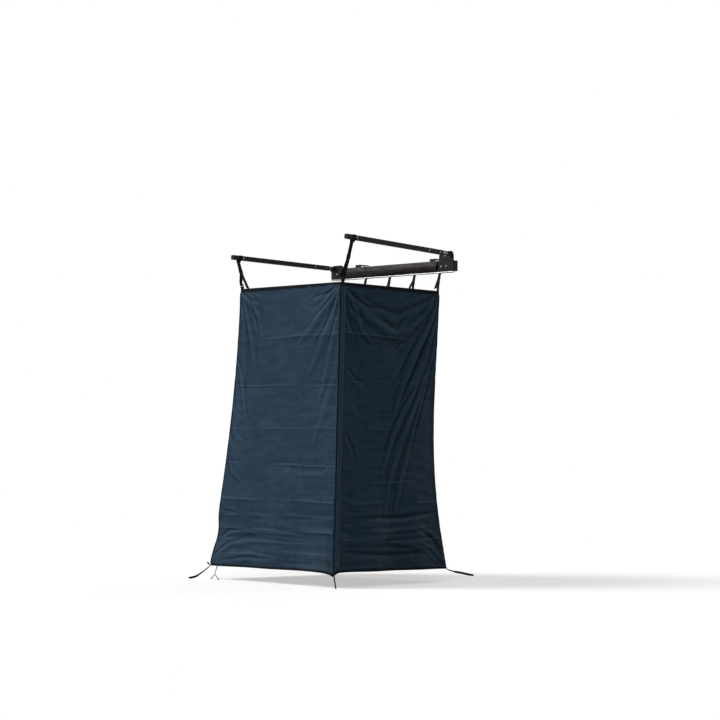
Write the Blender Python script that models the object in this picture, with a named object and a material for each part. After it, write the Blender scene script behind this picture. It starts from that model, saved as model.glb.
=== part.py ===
"""Open-topped shower tent that hangs from a rail on the side of a vehicle's roof rack.

Metres, +Z up. The origin is the centre of the rail's back face. X runs along the rail, toward the
vehicle's rear, and -Y points away from the vehicle. Two arms swing out on upright pivots and carry
the outer corners of a four-walled cloth room. The inner wall hangs from the rail.
"""

import math

import bmesh
import bpy
from mathutils import Matrix, Vector

# Clearance between pieces that touch
GAP = 0.0003

# Rail, a rectangular aluminium tube
RAIL_LENGTH = 1.150
RAIL_HEIGHT = 0.070
RAIL_DEPTH = 0.034
RAIL_WALL = 0.0025
RAIL_CHAMFER = 0.002
CAP_FLANGE = 0.003
CAP_PLUG = 0.016

# Bright strip with a rope groove, under the rail
TRACK_FLANGE = 0.002
TRACK_FLANGE_WIDTH = 0.024
TRACK_TUBE_RADIUS = 0.0055
TRACK_BORE_RADIUS = 0.0035
TRACK_SLOT_DEG = 70
TRACK_SLOT_FACING_DEG = 235
TRACK_SET_BACK = 0.002

# Cover sheath over the rail, between the hinge brackets
COVER_END_GAP = 0.020
COVER_THICKNESS = 0.002
COVER_BULGE = 0.009

# Angle brackets that bolt to a roof rack
RACK_BRACKET_FROM_END = 0.225
RACK_BRACKET_WIDTH = 0.050
RACK_BRACKET_PLATE = 0.005
RACK_LEG_DROP = 0.030
RACK_LEG_RISE = 0.060
RACK_LEG_REACH = 0.085
RACK_SLOT_WIDTH = 0.009
RACK_SLOT_LENGTH = 0.034
RACK_SLOT_CENTRE = 0.050

# Hinge brackets on the rail's front
HINGE_PLATE = 0.004
HINGE_PLATE_WIDTH = 0.130
HINGE_PLATE_CORNER = 0.028
HINGE_PLATE_OVER_EAR = 0.010
PIVOT_FROM_END = 0.020
EAR_RADIUS = 0.019
EAR_THICKNESS = 0.005
EAR_PLAY = 0.0006
GUSSET_THICKNESS = 0.006
GUSSET_GAP = 0.003

# Pivots. The rear arm swings above the front one and further out, so that they fold past each other
PIVOT_STAND_OFF = 0.0047
ARM_PASSING_GAP = 0.015
FRONT_ARM_OVER_RAIL = 0.005
ARM_STACK_GAP = 0.008
FRONT_ARM_RISE_DEG = 0.6
REAR_ARM_RISE_DEG = 2.2
PIVOT_BOLT_RADIUS = 0.004
PIVOT_CLEARANCE = 0.0001
PIVOT_SIDES = 32
PIVOT_HEAD_RADIUS = 0.0072
PIVOT_HEAD_HEIGHT = 0.0053
PIVOT_WASHER_RADIUS = 0.0085
PIVOT_WASHER = 0.0016
PIVOT_NUT_HEIGHT = 0.0074
PIVOT_TAIL = 0.002

# Arms, rectangular tube with a plug and tongue at the hinge
ARM_LENGTH = 0.915
ARM_WIDTH = 0.025
ARM_HEIGHT = 0.030
ARM_WALL = 0.002
ARM_START = 0.027
TONGUE_THICKNESS = 0.010
TONGUE_RADIUS = 0.017
PLUG_LENGTH = 0.175
TONGUE_NECK = 0.006
TONGUE_BOLT_FROM_END = 0.035
TIP_CAP_LENGTH = 0.012
TIP_CAP_PLUG = 0.020
TIP_CAP_CHAMFER = 0.007

# Fasteners
BOLT_RADIUS = 0.003
BOLT_HEAD_RADIUS = 0.0062
BOLT_HEAD_HEIGHT = 0.004
BOLT_CLEARANCE = 0.0004
NUT_WALL = 0.0032
NUT_HEIGHT = 0.005
BOLT_TAIL = 0.002
RAIL_BOLT_RADIUS = 0.004
RAIL_BOLT_HEAD_RADIUS = 0.0075

# Hanging straps at the arm tips
STRAP_WIDTH = 0.025
STRAP_THICKNESS = 0.0016
STRAP_FROM_ARM_END = 0.065
STRAP_STOP_GAP = 0.010
STOP_SCREW_LENGTH = 0.009
ADJUSTER_WIDTH = 0.033
ADJUSTER_RAIL = 0.003
ADJUSTER_BAR = 0.004
ADJUSTER_DEPTH = 0.0032
ADJUSTER_SLOT = 0.0085
ADJUSTER_SHARE = 0.47
TAIL_LENGTH = 0.145
TAIL_LEAN = 0.022
WRAP_CORNER = 0.0007
RING_BAR_LENGTH = 0.030
RING_HEIGHT = 0.022
RING_WIRE = 0.0032
RING_ABOVE_HEM = 0.009
TAB_LENGTH = 0.0235

# Cloth room. Corners are given in plan, top and bottom
ROOM_INSIDE_PIVOTS = 0.085
ROOM_BEYOND_STRAP = 0.060
ROOM_FROM_RAIL = 0.028
ROOM_BELOW_RAIL = 0.130
ROOM_HEIGHT = 1.820
NEAR_FLARE = (0.081, -0.114)
FRONT_FLARE = (-0.124, -0.124)
REAR_FLARE = (0.066, 0.026)
INNER_FLARE = (-0.066, 0.026)
FLARE_POWER = 1.7
REAR_BOW = (-0.040, -0.034)
BOW_POWER = 1.4
FRONT_TUCK = 0.11
FRONT_TUCK_AT = 0.885
FRONT_TUCK_SPREAD = 0.055
NEAR_TIP_DROP = 0.018
NEAR_TIP_RISE = 0.027
NEAR_TIP_SPREAD = 0.045
BOTTOM_ARCH = 0.014
BOTTOM_RISE_FROM = (0.80, 0.98)
CLOTH_THICKNESS = 0.0012
TOP_HEM_HEIGHT = 0.025
BOTTOM_HEM_HEIGHT = 0.016
HEM_THICKNESS = 0.003
BINDING_SIZE = 0.007
BINDING_ABOVE_EDGE = 0.0256
WALL_COLUMNS = 18
WALL_ROWS = 24

# Main folds of the hanging cloth. A fold runs between two points, as shares across and down
BILLOW = 0.016
FOLD_HALF_WIDTH = 0.055
FLUTE = 0.010
CREASE = 0.0035
CREASE_SPREAD = 0.05
CREASE_DROPS = (0.335, 0.64, 0.93, 1.16, 1.40, 1.60)
EDGE_HOLD = 0.07
TOP_FANS = (
    ((0.02, 0.02), (0.24, 0.17), 0.010),
    ((0.02, 0.04), (0.12, 0.33), 0.009),
    ((0.98, 0.02), (0.78, 0.17), 0.010),
    ((0.98, 0.04), (0.90, 0.34), 0.008),
)
REAR_FOLDS = (
    ((0.02, 0.03), (0.30, 0.17), 0.012),
    ((0.24, 0.15), (0.56, 0.41), 0.013),
    ((0.12, 0.24), (0.42, 0.47), -0.009),
    ((0.22, 0.33), (0.60, 0.68), 0.012),
    ((0.30, 0.15), (0.85, 0.05), 0.008),
    ((0.02, 0.98), (0.36, 0.88), 0.010),
)
ZIP_HOLD = (0.056, 0.17)

# Zip beside the near corner
ZIP_FROM_CORNER = 0.026
ZIP_BELOW_HEM = 0.004
ZIP_ABOVE_HEM = 0.023
ZIP_TAPE_WIDTH = 0.030
ZIP_TAPE_THICKNESS = 0.0014
ZIP_OFF_WALL = 0.0012
ZIP_SLIDER_LENGTH = 0.020
ZIP_SLIDER_WIDTH = 0.013
ZIP_SLIDER_DEPTH = 0.006
ZIP_SLIDER_TAPER = 0.7
ZIP_PULL_LENGTH = 0.034
ZIP_PULL_WIDTH = 0.007
ZIP_PULL_THICKNESS = 0.0022
ZIP_SLIDER_REST = 0.975

# Short straps from the rail to the inner wall
RAIL_STRAPS = 5
RAIL_STRAP_FROM_CORNER = 0.012
RAIL_STRAP_WIDTH = 0.022
RAIL_STRAP_THICKNESS = 0.0012
RAIL_STRAP_TAIL_OUT = 0.055
BEAD_RADIUS = 0.0021
BEAD_NECK = 0.00085

# Ground ties
GROUND_BELOW_ROOM = 0.088
TIE_WIDTH = 0.015
TIE_THICKNESS = 0.0016
TIE_STEP = 0.018
TIE_ROUTES = {
    "near": ((0.0085, -0.0015, 0.022), (0.0125, 0.0, -0.010), (0.016, 0.004, -0.040), (0.019, 0.007, -0.070)),
    "front": (
        (-0.096, -0.096, -0.086),
        (-0.060, -0.060, -0.058),
        (-0.022, -0.022, -0.022),
        (-0.007, -0.007, 0.012),
        (0.004, -0.018, -0.020),
        (0.026, -0.014, -0.050),
        (0.024, -0.016, -0.087),
    ),
    "inner": ((-0.004, 0.004, 0.022), (-0.010, 0.008, -0.020), (-0.012, 0.008, -0.087)),
    "rear": (
        (0.005, 0.005, 0.020),
        (0.020, 0.014, -0.006),
        (0.070, 0.024, -0.022),
        (0.140, 0.038, -0.036),
        (0.200, 0.050, -0.045),
    ),
}

# Places that follow from the sizes above
HALF_RAIL = RAIL_LENGTH / 2
HALF_HEIGHT = RAIL_HEIGHT / 2
FRONT_FACE_Y = -RAIL_DEPTH
HINGE_PLATE_Y = FRONT_FACE_Y - GAP
HINGE_OUTER_Y = HINGE_PLATE_Y - HINGE_PLATE
HINGE_PLATE_INNER_X = HALF_RAIL - HINGE_PLATE_WIDTH
COVER_HALF_LENGTH = HINGE_PLATE_INNER_X - COVER_END_GAP
RACK_BRACKET_X = HALF_RAIL - RACK_BRACKET_FROM_END
PIVOT_X = HALF_RAIL - PIVOT_FROM_END
FRONT_PIVOT_Y = HINGE_OUTER_Y - TONGUE_RADIUS - PIVOT_STAND_OFF
REAR_PIVOT_Y = FRONT_PIVOT_Y - ARM_WIDTH - ARM_PASSING_GAP
FRONT_ARM_Z = HALF_HEIGHT + FRONT_ARM_OVER_RAIL
REAR_ARM_Z = FRONT_ARM_Z + ARM_HEIGHT + ARM_STACK_GAP
STRAP_RADIUS_ON_ARM = ARM_LENGTH - STRAP_FROM_ARM_END
ROOM_TOP_HALF_X = PIVOT_X - ROOM_INSIDE_PIVOTS
ROOM_TOP_OUT_Y = FRONT_PIVOT_Y - STRAP_RADIUS_ON_ARM - ROOM_BEYOND_STRAP
ROOM_TOP_IN_Y = FRONT_FACE_Y - ROOM_FROM_RAIL
ROOM_TOP_Z = -HALF_HEIGHT - ROOM_BELOW_RAIL
ROOM_BOTTOM_Z = ROOM_TOP_Z - ROOM_HEIGHT


def clear_scene():
    for old in list(bpy.data.objects):
        bpy.data.objects.remove(old)


def finish(name, colour, roughness, metallic=0.0):
    made = bpy.data.materials.new(name)
    made.use_nodes = True
    shader = made.node_tree.nodes["Principled BSDF"]
    shader.inputs["Base Color"].default_value = (*colour, 1.0)
    shader.inputs["Roughness"].default_value = roughness
    shader.inputs["Metallic"].default_value = metallic
    return made


def add_object(name, data, material=None):
    made = bpy.data.objects.new(name, data)
    bpy.context.scene.collection.objects.link(made)
    if material is not None:
        data.materials.append(material)
    return made


def add_mesh(name, shape, material=None, smooth=False):
    """A new object from a bmesh, with its faces turned outward."""
    bmesh.ops.recalc_face_normals(shape, faces=shape.faces)
    data = bpy.data.meshes.new(name)
    shape.to_mesh(data)
    shape.free()
    if smooth:
        data.shade_smooth()
        data.set_sharp_from_angle(angle=math.radians(35))
    return add_object(name, data, material)


def box_shape(low, high):
    shape = bmesh.new()
    bmesh.ops.create_cube(shape, size=1.0)
    size = Vector(high) - Vector(low)
    centre = (Vector(high) + Vector(low)) / 2
    bmesh.ops.scale(shape, vec=size, verts=shape.verts)
    bmesh.ops.translate(shape, vec=centre, verts=shape.verts)
    return shape


def prism_shape(outline, move):
    """A flat outline of 3-D points, extruded by a vector."""
    shape = bmesh.new()
    face = shape.faces.new([shape.verts.new(point) for point in outline])
    grown = bmesh.ops.extrude_face_region(shape, geom=[face])
    moved = [item for item in grown["geom"] if isinstance(item, bmesh.types.BMVert)]
    bmesh.ops.translate(shape, vec=Vector(move), verts=moved)
    return shape


def rod_shape(start, end, radius, sides=16):
    shape = bmesh.new()
    start, end = Vector(start), Vector(end)
    along = end - start
    turn = along.to_track_quat("Z", "Y").to_matrix().to_4x4()
    place = Matrix.Translation((start + end) / 2) @ turn
    bmesh.ops.create_cone(
        shape,
        cap_ends=True,
        segments=sides,
        radius1=radius,
        radius2=radius,
        depth=along.length,
        matrix=place,
    )
    return shape


def hide_tool(tool):
    tool.hide_render = True
    tool.display_type = "WIRE"
    return tool


def combine(target, tool, operation):
    """A live Boolean on the target, with the tool hidden."""
    hide_tool(tool)
    step = target.modifiers.new(operation.lower(), "BOOLEAN")
    step.operation = operation
    step.object = tool
    step.solver = "EXACT"


def cut(target, shape):
    combine(target, add_mesh("tool", shape), "DIFFERENCE")


def join(target, shape):
    combine(target, add_mesh("tool", shape), "UNION")


def arc_points(centre, radius, start_deg, end_deg, steps):
    """Points of an arc in a plane of two coordinates."""
    return [
        (
            centre[0] + radius * math.cos(math.radians(start_deg + (end_deg - start_deg) * i / steps)),
            centre[1] + radius * math.sin(math.radians(start_deg + (end_deg - start_deg) * i / steps)),
        )
        for i in range(steps + 1)
    ]


def ribbon(name, points, across, width, thickness, material, closed=False):
    """Webbing that follows points at the middle of its thickness, with its width along across."""
    shape = bmesh.new()
    across = Vector(across).normalized()
    first = [shape.verts.new(Vector(point) - across * width / 2) for point in points]
    edges = [shape.edges.new(pair) for pair in zip(first, first[1:])]
    if closed:
        edges.append(shape.edges.new((first[-1], first[0])))
    grown = bmesh.ops.extrude_edge_only(shape, edges=edges)
    moved = [item for item in grown["geom"] if isinstance(item, bmesh.types.BMVert)]
    bmesh.ops.translate(shape, vec=across * width, verts=moved)
    made = add_mesh(name, shape, material)
    thicken(made, thickness)
    return made


def thicken(target, thickness):
    wall = target.modifiers.new("thickness", "SOLIDIFY")
    wall.thickness = thickness
    wall.offset = 0.0
    wall.use_even_offset = True
    return wall


def smooth_route(points, step):
    """Points about a step apart on a smooth curve through the given points."""
    route = []
    count = len(points)
    for i in range(count - 1):
        before = Vector(points[max(i - 1, 0)])
        start = Vector(points[i])
        end = Vector(points[i + 1])
        after = Vector(points[min(i + 2, count - 1)])
        parts = max(1, round((end - start).length / step))
        for k in range(parts):
            t = k / parts
            route.append(
                0.5
                * (
                    2 * start
                    + (end - before) * t
                    + (2 * before - 5 * start + 4 * end - after) * t * t
                    + (3 * start - before - 3 * end + after) * t * t * t
                )
            )
    route.append(Vector(points[-1]))
    return route


# Finishes

BLACK_RAIL = finish("black_anodised", (0.045, 0.040, 0.038), 0.42, 0.6)
BRIGHT = finish("bright_aluminium", (0.62, 0.60, 0.57), 0.30, 1.0)
BLACK_PAINT = finish("black_powder_coat", (0.012, 0.012, 0.014), 0.45)
BLACK_PLASTIC = finish("black_plastic", (0.015, 0.015, 0.016), 0.5)
STEEL = finish("zinc_steel", (0.55, 0.55, 0.56), 0.32, 1.0)
WEBBING = finish("black_webbing", (0.018, 0.019, 0.022), 0.8)
CLOTH = finish("navy_cloth", (0.020, 0.040, 0.062), 0.62)
HEM_TAPE = finish("black_hem_tape", (0.008, 0.010, 0.014), 0.7)
COVER_SHEET = finish("cover_sheet", (0.030, 0.024, 0.022), 0.38)


# Rail, its caps, track strip and cover


def rail_outline(inset):
    """The rail's section in Y and Z, taken in by inset."""
    corner = max(RAIL_CHAMFER - inset * 0.6, 0.0004)
    y0 = -RAIL_DEPTH + inset
    y1 = -inset
    z1 = HALF_HEIGHT - inset
    return [
        (y0 + corner, -z1),
        (y1 - corner, -z1),
        (y1, -z1 + corner),
        (y1, z1 - corner),
        (y1 - corner, z1),
        (y0 + corner, z1),
        (y0, z1 - corner),
        (y0, -z1 + corner),
    ]


def along_x(outline, x0, x1):
    return prism_shape([(x0, y, z) for y, z in outline], (x1 - x0, 0, 0))


def rack_bolt_places():
    return [-RACK_BRACKET_X, RACK_BRACKET_X]


def hinge_bolt_places(side):
    middle = (HINGE_PLATE_INNER_X + PIVOT_X - EAR_RADIUS) / 2
    spread = (PIVOT_X - EAR_RADIUS - HINGE_PLATE_INNER_X) / 4
    return [side * (middle - spread), side * (middle + spread)]


def make_rail():
    rail = add_mesh("mounting_rail", along_x(rail_outline(0), -HALF_RAIL, HALF_RAIL), BLACK_RAIL)
    over = RAIL_WALL * 4
    cut(rail, along_x(rail_outline(RAIL_WALL), -HALF_RAIL - over, HALF_RAIL + over))
    hole = RAIL_BOLT_RADIUS + BOLT_CLEARANCE
    for x in rack_bolt_places():
        cut(rail, rod_shape((x, -RAIL_WALL * 2, 0), (x, RAIL_WALL * 2, 0), hole))
    for side in (-1, 1):
        for x in hinge_bolt_places(side):
            start = (x, FRONT_FACE_Y - RAIL_WALL * 2, 0)
            cut(rail, rod_shape(start, (x, FRONT_FACE_Y + RAIL_WALL * 2, 0), hole))


def make_rail_cap(name, side):
    inner = HALF_RAIL + GAP
    x0, x1 = sorted((side * inner, side * (inner + CAP_FLANGE)))
    cap = add_mesh(name, along_x(rail_outline(0), x0, x1), BLACK_PLASTIC)
    p0, p1 = sorted((side * (HALF_RAIL - CAP_PLUG), side * (inner + CAP_FLANGE / 2)))
    join(cap, along_x(rail_outline(RAIL_WALL + GAP), p0, p1))


def track_centre():
    y = FRONT_FACE_Y - TRACK_SET_BACK
    z = -HALF_HEIGHT - GAP - TRACK_FLANGE / 2 - TRACK_TUBE_RADIUS + TRACK_FLANGE / 2
    return y, z - GAP


def make_track():
    y, z = track_centre()
    opening = TRACK_SLOT_DEG / 2
    facing = TRACK_SLOT_FACING_DEG
    outer = arc_points((y, z), TRACK_TUBE_RADIUS, facing + opening, facing + 360 - opening, 16)
    inner = arc_points((y, z), TRACK_BORE_RADIUS, facing + 360 - opening, facing + opening, 16)
    track = add_mesh("track_strip", along_x(outer + inner, -HALF_RAIL, HALF_RAIL), BRIGHT, smooth=True)
    top = -HALF_HEIGHT - GAP
    flange = box_shape((-HALF_RAIL, y, top - TRACK_FLANGE), (HALF_RAIL, y + TRACK_FLANGE_WIDTH, top))
    join(track, flange)


def make_cover():
    """A sheath that lies over the rail's top and front."""
    off = COVER_THICKNESS / 2 + GAP * 3
    top = HALF_HEIGHT + off
    front = FRONT_FACE_Y - off
    bulge = front - COVER_BULGE + off
    outline = [
        (-0.004, top),
        (-0.018, top + 0.0015),
        (FRONT_FACE_Y + 0.001, top + 0.001),
        (front - 0.001, HALF_HEIGHT - 0.003),
        (bulge + 0.003, HALF_HEIGHT - 0.016),
        (bulge, 0.004),
        (bulge + 0.001, -0.016),
        (front - 0.0015, -HALF_HEIGHT + 0.0035),
    ]
    route = smooth_route([(0, y, z) for y, z in outline], 0.006)
    ribbon("storage_cover", route, (1, 0, 0), 2 * COVER_HALF_LENGTH, COVER_THICKNESS, COVER_SHEET)


# Brackets


def make_rack_bracket(name, x):
    back = GAP
    low = (x - RACK_BRACKET_WIDTH / 2, back, -RACK_LEG_DROP)
    high = (x + RACK_BRACKET_WIDTH / 2, back + RACK_BRACKET_PLATE, RACK_LEG_RISE)
    bracket = add_mesh(name, box_shape(low, high), BLACK_PAINT)
    low = (x - RACK_BRACKET_WIDTH / 2, back, RACK_LEG_RISE - RACK_BRACKET_PLATE)
    high = (x + RACK_BRACKET_WIDTH / 2, RACK_LEG_REACH, RACK_LEG_RISE)
    join(bracket, box_shape(low, high))
    reach = RACK_BRACKET_PLATE * 3
    hole = RAIL_BOLT_RADIUS + BOLT_CLEARANCE
    cut(bracket, rod_shape((x, back - reach, 0), (x, back + reach, 0), hole))
    half = (RACK_SLOT_LENGTH - RACK_SLOT_WIDTH) / 2
    radius = RACK_SLOT_WIDTH / 2
    right = arc_points((RACK_SLOT_CENTRE + half, x), radius, -90, 90, 8)
    left = arc_points((RACK_SLOT_CENTRE - half, x), radius, 90, 270, 8)
    slot = [(across, y, RACK_LEG_RISE - reach) for y, across in right + left]
    cut(bracket, prism_shape(slot, (0, 0, reach * 2)))


def make_through_bolt(name, head_at, inward, grip, radius, head_radius):
    """A bolt with its head outside and its nut inside, along one direction."""
    head_at, inward = Vector(head_at), Vector(inward)
    shank_end = head_at + inward * (grip + GAP + NUT_HEIGHT + BOLT_TAIL)
    head_top = head_at - inward * BOLT_HEAD_HEIGHT
    bolt = add_mesh(name, rod_shape(head_at, head_top, head_radius, 12), STEEL)
    join(bolt, rod_shape((head_at + head_top) / 2, shank_end, radius, 12))
    nut_start = head_at + inward * (grip + GAP)
    join(bolt, rod_shape(nut_start, nut_start + inward * NUT_HEIGHT, radius + NUT_WALL, 6))


def make_hinge_bracket(name, side, pivot_y, arm_z):
    """A plate on the rail with two ears around the arm's tongue."""
    ear_outer = TONGUE_THICKNESS / 2 + EAR_PLAY + EAR_THICKNESS
    top = arm_z + ear_outer + HINGE_PLATE_OVER_EAR
    bottom = -HALF_HEIGHT + 0.001
    inner = side * HINGE_PLATE_INNER_X
    outer = side * HALF_RAIL
    corner = side * HINGE_PLATE_CORNER
    outline = [
        (inner, bottom),
        (outer, bottom),
        (outer, top - HINGE_PLATE_CORNER),
        (outer - corner * 0.6, top),
        (inner + corner, top),
        (inner, top - HINGE_PLATE_CORNER),
    ]
    face = [(x, HINGE_PLATE_Y, z) for x, z in outline]
    bracket = add_mesh(name, prism_shape(face, (0, -HINGE_PLATE, 0)), BLACK_PAINT)
    x = side * PIVOT_X
    root = HINGE_PLATE_Y - HINGE_PLATE / 2
    ear = arc_points((x, pivot_y), EAR_RADIUS, 180, 360, 12)
    ear += [(x + EAR_RADIUS, root), (x - EAR_RADIUS, root)]
    inside = TONGUE_THICKNESS / 2 + EAR_PLAY
    for low in (arm_z + inside, arm_z - inside - EAR_THICKNESS):
        join(bracket, prism_shape([(px, py, low) for px, py in ear], (0, 0, EAR_THICKNESS)))
    gusset_out = pivot_y + TONGUE_RADIUS + GUSSET_GAP
    if gusset_out < HINGE_OUTER_Y - GUSSET_THICKNESS:
        half = inside + EAR_THICKNESS / 2
        low = (x - GUSSET_THICKNESS / 2, gusset_out, arm_z - half)
        high = (x + GUSSET_THICKNESS / 2, root, arm_z + half)
        join(bracket, box_shape(low, high))
    hole = PIVOT_BOLT_RADIUS + PIVOT_CLEARANCE
    reach = ear_outer * 2
    cut(bracket, rod_shape((x, pivot_y, arm_z - reach), (x, pivot_y, arm_z + reach), hole, PIVOT_SIDES))
    for bolt_x in hinge_bolt_places(side):
        start = (bolt_x, HINGE_PLATE_Y + HINGE_PLATE, 0)
        end = (bolt_x, HINGE_OUTER_Y - HINGE_PLATE, 0)
        cut(bracket, rod_shape(start, end, RAIL_BOLT_RADIUS + BOLT_CLEARANCE))


def make_pivot_bolt(name, side, pivot_y, arm_z):
    """Head, shank, washer and nut on one upright axis."""
    reach = TONGUE_THICKNESS / 2 + EAR_PLAY + EAR_THICKNESS + GAP
    top, low = arm_z + reach, arm_z - reach
    nut = low - PIVOT_WASHER - PIVOT_NUT_HEIGHT
    x = side * PIVOT_X
    parts = (
        (top + PIVOT_HEAD_HEIGHT / 2, nut - PIVOT_TAIL, PIVOT_BOLT_RADIUS, PIVOT_SIDES),
        (low, low - PIVOT_WASHER - GAP, PIVOT_WASHER_RADIUS, PIVOT_SIDES),
        (low - PIVOT_WASHER, nut, PIVOT_HEAD_RADIUS, 6),
    )
    head = rod_shape((x, pivot_y, top), (x, pivot_y, top + PIVOT_HEAD_HEIGHT), PIVOT_HEAD_RADIUS, 6)
    bolt = add_mesh(name, head, STEEL)
    for start, end, radius, sides in parts:
        join(bolt, rod_shape((x, pivot_y, start), (x, pivot_y, end), radius, sides))


# Arms. Each is drawn along -Y from its pivot and then carried by an empty on the pivot


def make_arm(label, side, pivot_y, arm_z, rise_deg):
    pivot = bpy.data.objects.new(f"{label}_pivot", None)
    pivot.location = (side * PIVOT_X, pivot_y, arm_z)
    bpy.context.scene.collection.objects.link(pivot)
    lift = Matrix.Rotation(math.radians(-rise_deg), 4, "X")
    half_w, half_h = ARM_WIDTH / 2, ARM_HEIGHT / 2
    start, end = -ARM_START, -ARM_LENGTH + TIP_CAP_LENGTH

    outside = box_shape((-half_w, end, -half_h), (half_w, start, half_h))
    tube = add_mesh(f"{label}_tube", outside, BLACK_PAINT)
    low = (-half_w + ARM_WALL, end - 0.01, -half_h + ARM_WALL)
    cut(tube, box_shape(low, (half_w - ARM_WALL, start + 0.01, half_h - ARM_WALL)))

    plug_w, plug_h = half_w - ARM_WALL - GAP, half_h - ARM_WALL - GAP
    eye = arc_points((0, 0), TONGUE_RADIUS, 0, 180, 12)
    eye += [(-TONGUE_RADIUS, start + TONGUE_NECK), (-plug_w, start), (-plug_w, start - TONGUE_NECK)]
    eye += [(plug_w, start - TONGUE_NECK), (plug_w, start), (TONGUE_RADIUS, start + TONGUE_NECK)]
    plate = prism_shape([(x, y, -TONGUE_THICKNESS / 2) for x, y in eye], (0, 0, TONGUE_THICKNESS))
    bmesh.ops.transform(plate, matrix=lift.inverted(), verts=plate.verts)
    tongue = add_mesh(f"{label}_tongue", plate, STEEL)
    join(tongue, box_shape((-plug_w, start - PLUG_LENGTH, -plug_h), (plug_w, start - 0.001, plug_h)))
    bore = PIVOT_BOLT_RADIUS + PIVOT_CLEARANCE
    upright = rod_shape((0, 0, -TONGUE_THICKNESS), (0, 0, TONGUE_THICKNESS), bore, PIVOT_SIDES)
    bmesh.ops.transform(upright, matrix=lift.inverted(), verts=upright.verts)
    cut(tongue, upright)

    members = [tube, tongue]
    grip = ARM_WIDTH + 2 * GAP
    hole_radius = BOLT_RADIUS + BOLT_CLEARANCE
    first_bolt = ARM_START + TONGUE_BOLT_FROM_END
    last_bolt = ARM_START + PLUG_LENGTH - TONGUE_BOLT_FROM_END
    for number, distance in enumerate((first_bolt, last_bolt), 1):
        for target in (tube, tongue):
            cut(target, rod_shape((-ARM_WIDTH, -distance, 0), (ARM_WIDTH, -distance, 0), hole_radius))
        bolt = f"{label}_bolt_{number}"
        head = (half_w + GAP, -distance, 0)
        make_through_bolt(bolt, head, (-1, 0, 0), grip, BOLT_RADIUS, BOLT_HEAD_RADIUS)
        members.append(bpy.data.objects[bolt])

    stop_y = -STRAP_RADIUS_ON_ARM + STRAP_WIDTH / 2 + STRAP_STOP_GAP
    cut(tube, rod_shape((half_w - ARM_WALL * 2, stop_y, 0), (half_w + ARM_WALL, stop_y, 0), hole_radius))
    seat = half_w + GAP
    screw = rod_shape((seat, stop_y, 0), (seat + BOLT_HEAD_HEIGHT, stop_y, 0), BOLT_HEAD_RADIUS, 12)
    stop = add_mesh(f"{label}_strap_stop", screw, STEEL)
    shank = (seat + BOLT_HEAD_HEIGHT / 2, stop_y, 0)
    join(stop, rod_shape((half_w - STOP_SCREW_LENGTH, stop_y, 0), shank, BOLT_RADIUS, 12))
    members.append(stop)

    tip = -ARM_LENGTH
    cap_shape = box_shape((-half_w, tip, -half_h), (half_w, end - GAP, half_h))
    front = [edge for edge in cap_shape.edges if all(vert.co.y < tip + GAP for vert in edge.verts)]
    bmesh.ops.bevel(cap_shape, geom=front, offset=TIP_CAP_CHAMFER, segments=3, profile=0.5)
    cap = add_mesh(f"{label}_end_cap", cap_shape, BLACK_PLASTIC)
    plug = box_shape((-plug_w, tip + TIP_CAP_LENGTH / 2, -plug_h), (plug_w, end + TIP_CAP_PLUG, plug_h))
    join(cap, plug)
    members.append(cap)

    for member in members:
        member.parent = pivot
        member.matrix_local = lift
        for step in member.modifiers:
            if step.type == "BOOLEAN":
                step.object.parent = pivot
                step.object.matrix_local = lift
    return pivot


# Hanging straps


def strap_anchor(side, pivot_y, arm_z, rise_deg):
    """The arm's centre where its strap goes round it."""
    reach = STRAP_RADIUS_ON_ARM
    rise = math.radians(rise_deg)
    return Vector((side * PIVOT_X, pivot_y - reach * math.cos(rise), arm_z + reach * math.sin(rise)))


def ring_lower_bar(side):
    """The middle of the ring's lower bar, over the side wall's top edge."""
    out = ROOM_TOP_HALF_X + HEM_THICKNESS / 2 + GAP + STRAP_THICKNESS + GAP / 2
    return Vector((side * out, ROOM_TOP_OUT_Y + STRAP_WIDTH / 2 + 0.004, ROOM_TOP_Z + RING_ABOVE_HEM))


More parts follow.
